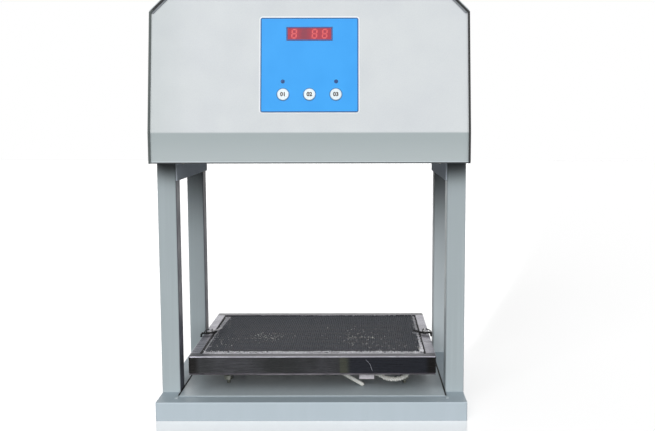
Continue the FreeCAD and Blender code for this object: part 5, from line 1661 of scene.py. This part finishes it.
@dataclass
class Keypad:
    """Printing, display digits and marks on the blue keypad, with painted shade round the keys."""

    border: float = 0.0013
    border_high: float = 0.00012
    margin: float = 0.0017
    corner: float = 0.0025
    corner_least: float = 0.0001
    corner_turns: int = 6
    window_border: float = 0.0017
    digit_pitch: float = 0.013
    digit_width: float = 0.0074
    digit_height: float = 0.0128
    lit_places: Point = (-1.5, 0.5, 1.5)
    bar: float = 0.0019
    bar_gap: float = 0.12
    slant: float = 0.08
    proud: float = 0.00012
    mark_height: float = 0.0049
    mark_share: float = 0.7
    mark_weight: float = 0.00032
    window_corner: float = 0.0004
    digit_lift: float = 0.00002
    lamp_ring: Pair = (0.0016, 0.0026)
    lamp_sides: int = 24
    # The next two set the ring of painted shade round each key.
    collar: Pair = (0.00765, 0.0085)
    collar_sides: int = 48

    def build(self) -> None:
        """Makes every printed or glowing detail, and a ring of painted shade round each key."""
        self.plane = PanelPlane()
        self.outline("keypad_border", "keypad_overlay", self.border, self.corner, FILM_BORDER, "blue_film")
        self.outline("keypad_margin", "keypad_overlay", self.margin, self.corner, FILM_MARGIN, "blue_film", True)
        self.outline("window_border", "display_window", self.window_border, self.window_corner, WINDOW_FRAME,
                     "red_window")
        self.digits()
        lamps = [span([self.plane.steps(point) for point in lamp]) for lamp in islands("indicator_lamps")]
        self.rings("lamp_rings", lamps, self.lamp_ring, self.proud, self.lamp_sides, FILM_BORDER)
        for node, text in (("button_left", "01"), ("button_middle", "02"), ("button_right", "03")):
            self.mark(node, text)
            # Painted shade: a darker ring on the film round the key.
            ring = node.replace("button", "key_shade_ring")
            self.rings(ring, [self.plane.extent(node)], self.collar, self.border_high, self.collar_sides, ROUND_KEY_SHADE)

    def outline(self, name: str, node: str, width: float, corner: float, finish: Finish, slot: str,
                outside: bool = False) -> None:
        """A printed line round a node's front face.

        Args:
            name: The piece's name.
            node: The node it goes round.
            width: The line's width.
            corner: The radius of its outer corners.
            finish: Its surface.
            slot: The record's material slot; not used.
            outside: Whether it lies outside the face, on the panel.
        """
        low, high = self.plane.extent(node)
        base = low.z if outside else high.z
        top = base + self.border_high
        outer, inner = (-width, 0.0) if outside else (0.0, width)
        shape = Shape()
        shape.loop([self.rounded(low, high, inset, corner, level)
                    for inset, level in ((outer, base), (outer, top), (inner, top), (inner, base))])
        shape.piece(name, "root", finish)

    def rounded(self, low: Vector, high: Vector, inset: float, corner: float, level: float) -> list[Vector]:
        """A rectangle with round corners, drawn in by an inset."""
        points = []
        radius = max(corner - inset, self.corner_least)
        spots = ((high.x, high.y, 1, 1), (low.x, high.y, -1, 1), (low.x, low.y, -1, -1), (high.x, low.y, 1, -1))
        for quarter, (x, y, way_x, way_y) in enumerate(spots):
            x -= way_x * (inset + radius)
            y -= way_y * (inset + radius)
            for k in range(self.corner_turns + 1):
                turn = QUARTER * (quarter + k / self.corner_turns)
                points.append(self.plane.point(x + radius * math.cos(turn), y + radius * math.sin(turn), level))
        return points

    def rings(self, name: str, boxes: Sequence[tuple[Vector, Vector]], radii: Pair, high: float,
              sides: int, finish: Finish) -> None:
        """Rings on the film, as one piece: printed round the lamps, painted shade round the keys.

        Args:
            name: The piece's name.
            boxes: What each ring goes round, as lowest and highest steps.
            radii: The inner and the outer radius.
            high: How far the print stands out.
            sides: How many flat sides stand for the round.
            finish: The rings' surface.
        """
        film = self.plane.extent("keypad_overlay")[1].z
        shape = Shape()
        for low, top in boxes:
            centre = self.plane.point((low.x + top.x) / 2, (low.y + top.y) / 2, film)
            shape.washer(centre, self.plane.axes(), radii, high, sides)
        shape.piece(name, "root", finish)

    def digits(self) -> None:
        """Seven-bar digits in the window, in three of its four places."""
        low, high = self.plane.extent("display_window")
        shape = Shape()
        middle = (low.y + high.y) / 2
        for place in self.lit_places:
            for bar in "abcdefg":
                outline = self.bar_outline(bar, place * self.digit_pitch, middle, high.z + self.digit_lift)
                shape.strip(outline, self.plane.out * self.proud)
        shape.piece("display_digits", "root", LIT_DIGIT)

    def bar_outline(self, bar: str, centre: float, middle: float, level: float) -> list[Vector]:
        """The six-sided outline of one bar of a digit.

        Args:
            bar: The bar's letter, a at the top and on round to f, with g in the middle.
            centre: The digit's place across the panel.
            middle: Its place up the panel.
            level: Its place out of the panel.

        Returns:
            The outline's points.
        """
        wide = self.digit_width / 2 - self.bar / 2
        tall = self.digit_height / 2 - self.bar / 2
        spans = {"a": ((-wide, tall), (wide, tall)), "d": ((-wide, -tall), (wide, -tall)),
                 "g": ((-wide, 0.0), (wide, 0.0)), "b": ((wide, 0.0), (wide, tall)),
                 "c": ((wide, -tall), (wide, 0.0)), "e": ((-wide, -tall), (-wide, 0.0)),
                 "f": ((-wide, 0.0), (-wide, tall))}
        start, end = (Vector(spot) for spot in spans[bar])
        run = (end - start).normalized()
        side = Vector((-run.y, run.x)) * self.bar / 2
        gap = run * self.bar * self.bar_gap
        tip = run * self.bar / 2
        flat = [start + gap, start + gap + tip + side, end - gap - tip + side, end - gap,
                end - gap - tip - side, start + gap + tip - side]
        return [self.plane.point(centre + spot.x + spot.y * self.slant, middle + spot.y, level) for spot in flat]

    def mark(self, node: str, text: str) -> None:
        """A plain number printed on a key, which moves with it.

        Args:
            node: The key's node.
            text: The number.
        """
        low, high = self.plane.extent(node)
        curve = bpy.data.curves.new(node + "_text", "FONT")
        curve.body = text
        curve.size = self.mark_height / self.mark_share
        curve.align_x = curve.align_y = "CENTER"
        curve.extrude = self.proud / 2
        curve.offset = self.mark_weight
        curve.resolution_u = 4
        mesh = mesh_of(curve)
        place = self.plane.point((low.x + high.x) / 2, (low.y + high.y) / 2, high.z + self.proud / 2)
        turn = Matrix(self.plane.axes()).transposed().to_4x4()
        mesh.transform(Matrix.Translation(place) @ turn)
        dress(placed(node + "_number", mesh), frame["nodes"][node]["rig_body"], KEY_MARK)


@dataclass
class CoverEdge:
    """Black rubber edging pushed over the cover's front edge, and a painted shadow strip inside each chamfer."""

    outside: float = 0.0003
    inside: float = 0.0008
    # The next three sizes set the painted shadow strip inside each chamfer.
    lip: float = 0.0026
    lip_front: float = 0.0006
    lip_back: float = 0.0011
    reach_front: float = 0.0005
    reach_back: float = 0.006
    sheet: float = 0.0015
    play: float = 0.00002
    gap: float = 0.00005

    def build(self) -> None:
        """Carries the edging's section along the front edge."""
        path, outwards = self.edge_line()
        inner = -self.sheet - self.inside
        edging = ((self.outside, -self.reach_front), (self.outside, self.reach_back), (self.play, self.reach_back),
                  (self.play, self.gap), (-self.sheet, self.gap), (-self.sheet, self.reach_back),
                  (inner, self.reach_back), (inner, -self.reach_front))
        self.carry("cover_edging", path, outwards, edging, EDGE_RUBBER)
        # Painted shadow: a grey strip on the panel just inside each chamfer, under the overhanging edge.
        lip = [(inner - reach, depth) for reach, depth in ((0.0, self.lip_front), (0.0, self.lip_back),
                                                           (self.lip, self.lip_back), (self.lip, self.lip_front))]
        for side, first in ((Side.LEFT, 2), (Side.RIGHT, 4)):
            ends = slice(first, first + 2)
            self.carry("chamfer_shadow_" + side.name.lower(), path[ends], outwards[ends], lip, CHAMFER_SHADOW_PAINT)

    def carry(self, name: str, path: Line, outwards: Line,
              section: Sequence[Pair], finish: Finish) -> None:
        """Carries a section along some corners of the front edge.

        Args:
            name: The piece's name.
            path: The corners.
            outwards: The outward step at each.
            section: Its points, as steps outwards and to the back.
            finish: Its surface.
        """
        shape = Shape()
        shape.swept(path, [[across * a + BACK * b for a, b in section] for across in outwards])
        shape.piece(name, "root", finish)

    def edge_line(self) -> tuple[list[Vector], list[Vector]]:
        """Reads the corners of the cover's front edge from its mesh.

        Returns:
            The corners from the lower left round to the lower right, and the outward step at each.
        """
        points = [vertex.co for vertex in frame["nodes"]["head_cover"].data.vertices]
        high = max(point.z for point in points)
        wide = max(point.x for point in points)
        close = 1e-5  # the same place, but for rounding
        side = [point for point in points if point.x > wide - close]
        bottom = min(point.z for point in side)
        chamfer = max(point.z for point in side)
        front = min(point.y for point in side)
        bend = max(point.z for point in side if point.y < front + close)
        lean = min(point.y for point in side if point.z > chamfer - close)
        top = [point for point in points if point.z > high - close]
        crown = max(point.x for point in top)
        crown_y = min(point.y for point in top)
        half = [Vector((wide, front, bottom)), Vector((wide, front, bend)), Vector((wide, lean, chamfer)),
                Vector((crown, crown_y, high))]
        path = [Vector((-p.x, p.y, p.z)) for p in half] + [p.copy() for p in reversed(half)]
        normals = []
        for first, second in zip(path, path[1:]):
            normals.append(Vector((first.z - second.z, 0.0, second.x - first.x)).normalized())
        outwards = [normals[0]]
        for first, second in zip(normals, normals[1:]):
            both = (first + second).normalized()
            outwards.append(both / both.dot(first))
        outwards.append(normals[-1])
        return path, outwards


@dataclass
class SeamStrips:
    """Dark strips in the gaps between the deck and the posts and round the board: painted shade that darkens the gaps.
    """

    lap: float = 0.0007
    rise: float = 0.00025
    segments: int = 44
    soot_level: float = 0.0786
    soot_width: float = 0.0019
    soot_spread: float = 0.0008
    play: float = 0.00005
    ripple: float = 0.0001
    ripple_turn: float = 1.7
    spread_slope: float = 20.0

    def build(self) -> None:
        """Fills each gap with a strip whose top is a little uneven."""
        low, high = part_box("deck_plate")
        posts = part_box("post_front_right")[0].x
        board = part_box("insulation_board")
        for side in Side:
            name = side.name.lower()
            # Painted shade in the deck gap, then in the gap round the board.
            self.strip("deck_gap_shade_" + name, side, high.x - self.lap, posts - self.play, low, high, high.z + self.rise)
            inner = board[1].x + self.play
            self.strip("board_gap_shade_" + name, side, inner, inner + self.soot_width, *board, self.soot_level,
                       self.soot_spread)

    def strip(self, name: str, side: Side, inner: float, outer: float, low: Vector, high: Vector, top: float,
              spread: float = 0.0) -> None:
        """One strip along the depth.

        Args:
            name: The piece's name.
            side: The side that it's on.
            inner: How far its inner face is from the middle.
            outer: How far its outer face is.
            low: The lowest corner of what it runs along.
            high: The highest corner.
            top: The level of its top.
            spread: How much further in it reaches towards the front.
        """
        shape = Shape()
        path = []
        outlines = []
        foot = high.z + self.play * 0.4 if inner < high.x else low.z + self.play
        for k in range(self.segments + 1):
            level = top + self.ripple * math.sin(k * self.ripple_turn)
            y = low.y + (high.y - low.y) * k / self.segments
            near = inner - spread * held(0.5 - y * self.spread_slope, 0.0, 1.0)
            path.append(BACK * y)
            corners = ((near, level - 2 * self.ripple), (inner, foot), (outer, foot), (outer, level), (near, level))
            outlines.append([Vector((side.value * x, 0.0, z)) for x, z in corners])
        shape.swept(path, outlines)
        shape.piece(name, "root", GAP_SHADE_BLACK)


@dataclass
class RockerMarks:
    """The line and the ring that show which end of the rocker is on."""

    size: float = 0.0034
    stroke: float = 0.0006
    proud: float = 0.0001
    line_share: float = 0.24
    ring_share: float = 0.76
    sides: int = 28

    def build(self) -> None:
        """Prints both marks on the rocker's two slopes."""
        node = frame["nodes"]["rocker_switch"]
        low, high = span([vertex.co for vertex in node.data.vertices])
        for name, share in (("rocker_line", self.line_share), ("rocker_ring", self.ring_share)):
            start = Vector(((low.x + high.x) / 2, high.y + self.size, low.z + (high.z - low.z) * share))
            hit, place, normal, _ = node.ray_cast(start, -BACK)
            if not hit:
                continue
            shape = Shape()
            up = normal.cross(RIGHT).normalized()
            if name == "rocker_line":
                outline = [place + RIGHT * a * self.stroke / 2 + up * b * self.size / 2
                           for a, b in ((-1, -1), (1, -1), (1, 1), (-1, 1))]
                shape.strip(outline, normal * self.proud)
            else:
                radii = (self.size / 2 - self.stroke, self.size / 2)
                shape.washer(place, (RIGHT, up, normal), radii, self.proud, self.sides)
            shape.piece(name, "rocker", WHITE_MARK)


class CarriedNodes:
    """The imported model's own pieces, which only get their finishes here."""

    def build(self) -> None:
        """Gives each node the finish of its slot, or one of its own."""
        for row in frame["record"]["subparts"]:
            node = frame["nodes"][row["node"]]
            finish = FINISH_OF_NODE.get(row["node"], FINISH_OF_SLOT[row["material_slot"]])
            node.data.materials.clear()
            node.data.materials.append(finish.material())


@dataclass
class TrayDressing:
    """Everything on and under the heating tray that is soft, woven or wound."""

    heater_route: Route = (
        (0.0834, -0.097, 0.04875), (0.08818, -0.097, 0.04875), (0.099174, -0.097, 0.041268),
        (0.111124, -0.097, 0.04015), (0.12164, -0.097, 0.041698), (0.1312, -0.097, 0.04875), (0.1312, -0.097, 0.056))
    heater_length: float = 0.0588
    heater_diameter: float = 0.0054
    supply_route: Route = (
        (0.07825, -0.082, 0.04875), (0.07825, -0.06823, 0.04875), (0.093688, -0.0361, 0.040962),
        (0.112213, 0.00674, 0.043187), (0.131355, 0.04652, 0.047638), (0.14, 0.071, 0.040295), (0.14, 0.071, 0.02))
    supply_length: float = 0.1852
    supply_diameter: float = 0.0038
    left_line: Route = (
        (-0.1495, 0.0030, 0.0796), (-0.1530, -0.0060, 0.0808), (-0.1570, -0.0118, 0.0816), (-0.1620, -0.0130, 0.0817),
        (-0.1668, -0.0128, 0.0822), (-0.1690, -0.0132, 0.0806), (-0.1690, -0.0134, 0.0765))
    right_line: Route = (
        (0.1480, 0.0060, 0.0796), (0.1520, -0.0030, 0.0806), (0.1558, -0.0112, 0.0815), (0.1610, -0.0128, 0.0816),
        (0.1662, -0.0100, 0.0822), (0.1688, -0.0108, 0.0804), (0.1690, -0.0112, 0.0762))
    left_tails: Sequence[Route] = (
        ((-0.1536, -0.0080, 0.0816), (-0.1550, -0.0020, 0.0826), (-0.1560, 0.0036, 0.0838)),
        ((-0.1640, -0.0122, 0.0824), (-0.1660, -0.0060, 0.0826), (-0.1636, 0.0028, 0.0824), (-0.1606, 0.0050, 0.0824)),
        ((-0.1600, -0.0128, 0.0822), (-0.1622, -0.0090, 0.0834), (-0.1640, -0.0080, 0.0846)))
    right_tails: Sequence[Route] = (
        ((0.1565, -0.0110, 0.0820), (0.1560, -0.0030, 0.0826), (0.1580, 0.0052, 0.0828), (0.1640, 0.0040, 0.0832),
         (0.1690, -0.0040, 0.0826), (0.1694, -0.0104, 0.0806)),
        ((0.1440, 0.0110, 0.0794), (0.1480, 0.0060, 0.0800), (0.1520, -0.0030, 0.0810)))
    left_bright: Route = (
        (-0.1452, 0.0260, 0.0794), (-0.1462, 0.0160, 0.0802), (-0.1494, 0.0050, 0.0816), (-0.1540, -0.0010, 0.0826),
        (-0.1580, -0.0024, 0.0828))
    right_bright: Route = (
        (0.1578, -0.0090, 0.0832), (0.1600, -0.0030, 0.0838), (0.1612, 0.0030, 0.0838), (0.1600, 0.0052, 0.0834))
    scratch: Route = (
        (0.0716, -0.11905, 0.0742), (0.0752, -0.11905, 0.0712), (0.0778, -0.11905, 0.0676), (0.0790, -0.11905, 0.0630),
        (0.0806, -0.11905, 0.0590))
    scratch_step: float = 0.001
    scratch_radius: float = 0.00022
    scratch_thin: float = 0.3
    hem_radius: float = 0.0008
    hem_play: float = 0.0001

    def build(self) -> None:
        """Makes the leads first, then what lies on the tray."""
        Lead("heater_lead_rope", "heater_lead", self.heater_route, self.heater_length, self.heater_diameter,
             swell=0.32, lay=3.0).build()
        Lead("supply_lead_rope", "supply_lead", self.supply_route, self.supply_length, self.supply_diameter,
             seed=8).build()
        SleeveEnd().build()
        Gauze().build()
        BoardEdge().build()
        WireTie(Side.LEFT, self.left_line, self.left_tails, self.left_bright, "gauze_tie_left").build()
        WireTie(Side.RIGHT, self.right_line, self.right_tails, self.right_bright, "gauze_tie_right").build()
        self.hem()
        mark = Shape()
        line = evened(centreline("tray_scratch", self.scratch), self.scratch_step)
        taper = [self.scratch_thin + (1 - self.scratch_thin) * k / len(line) for k in range(len(line))]
        mark.tube(line, self.scratch_radius, 5, taper=taper)
        mark.piece("tray_scratch", "root", SCRATCH)

    def hem(self) -> None:
        """The folded lower edge of the tray's front wall, in a lighter steel tone that makes a painted highlight along
        the fold.
        """
        low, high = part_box("tray_frame")
        shape = Shape()
        radius = self.hem_radius
        section = [(UP * b - BACK * a) * radius for a, b in around(8)]
        middle = BACK * (low.y + radius + self.hem_play) + UP * (low.z - radius + self.hem_play)
        shape.swept([middle + RIGHT * x for x in (low.x + radius, high.x - radius)], [section, section], soft=True)
        shape.piece("tray_hem", "root", TRAY_HEM_HIGHLIGHT)


@dataclass
class Fasteners:
    """Every set of screws in view."""

    sets: dict[str, Point] = field(default_factory=lambda: {
        "tube_plate_screws": (0.0, 0.0, 1.0), "inlet_screws": (0.0, 1.0, 0.0), "fan_screws": (0.0, 1.0, 0.0),
        "rail_screws": (0.0, 0.0, 1.0)})

    def build(self) -> None:
        """Replaces each set of plain screws."""
        for number, (node, out) in enumerate(self.sets.items()):
            ScrewSet(node, out, seed=number).build()


def main() -> None:
    """Builds the studio and every dressed piece, in order."""
    logging.basicConfig(level=logging.INFO, format="%(message)s")
    Studio().build()
    CarriedNodes().build()
    TrayDressing().build()
    Keypad().build()
    CoverEdge().build()
    SeamStrips().build()
    RockerMarks().build()
    Fasteners().build()


if __name__ == "__main__":
    main()
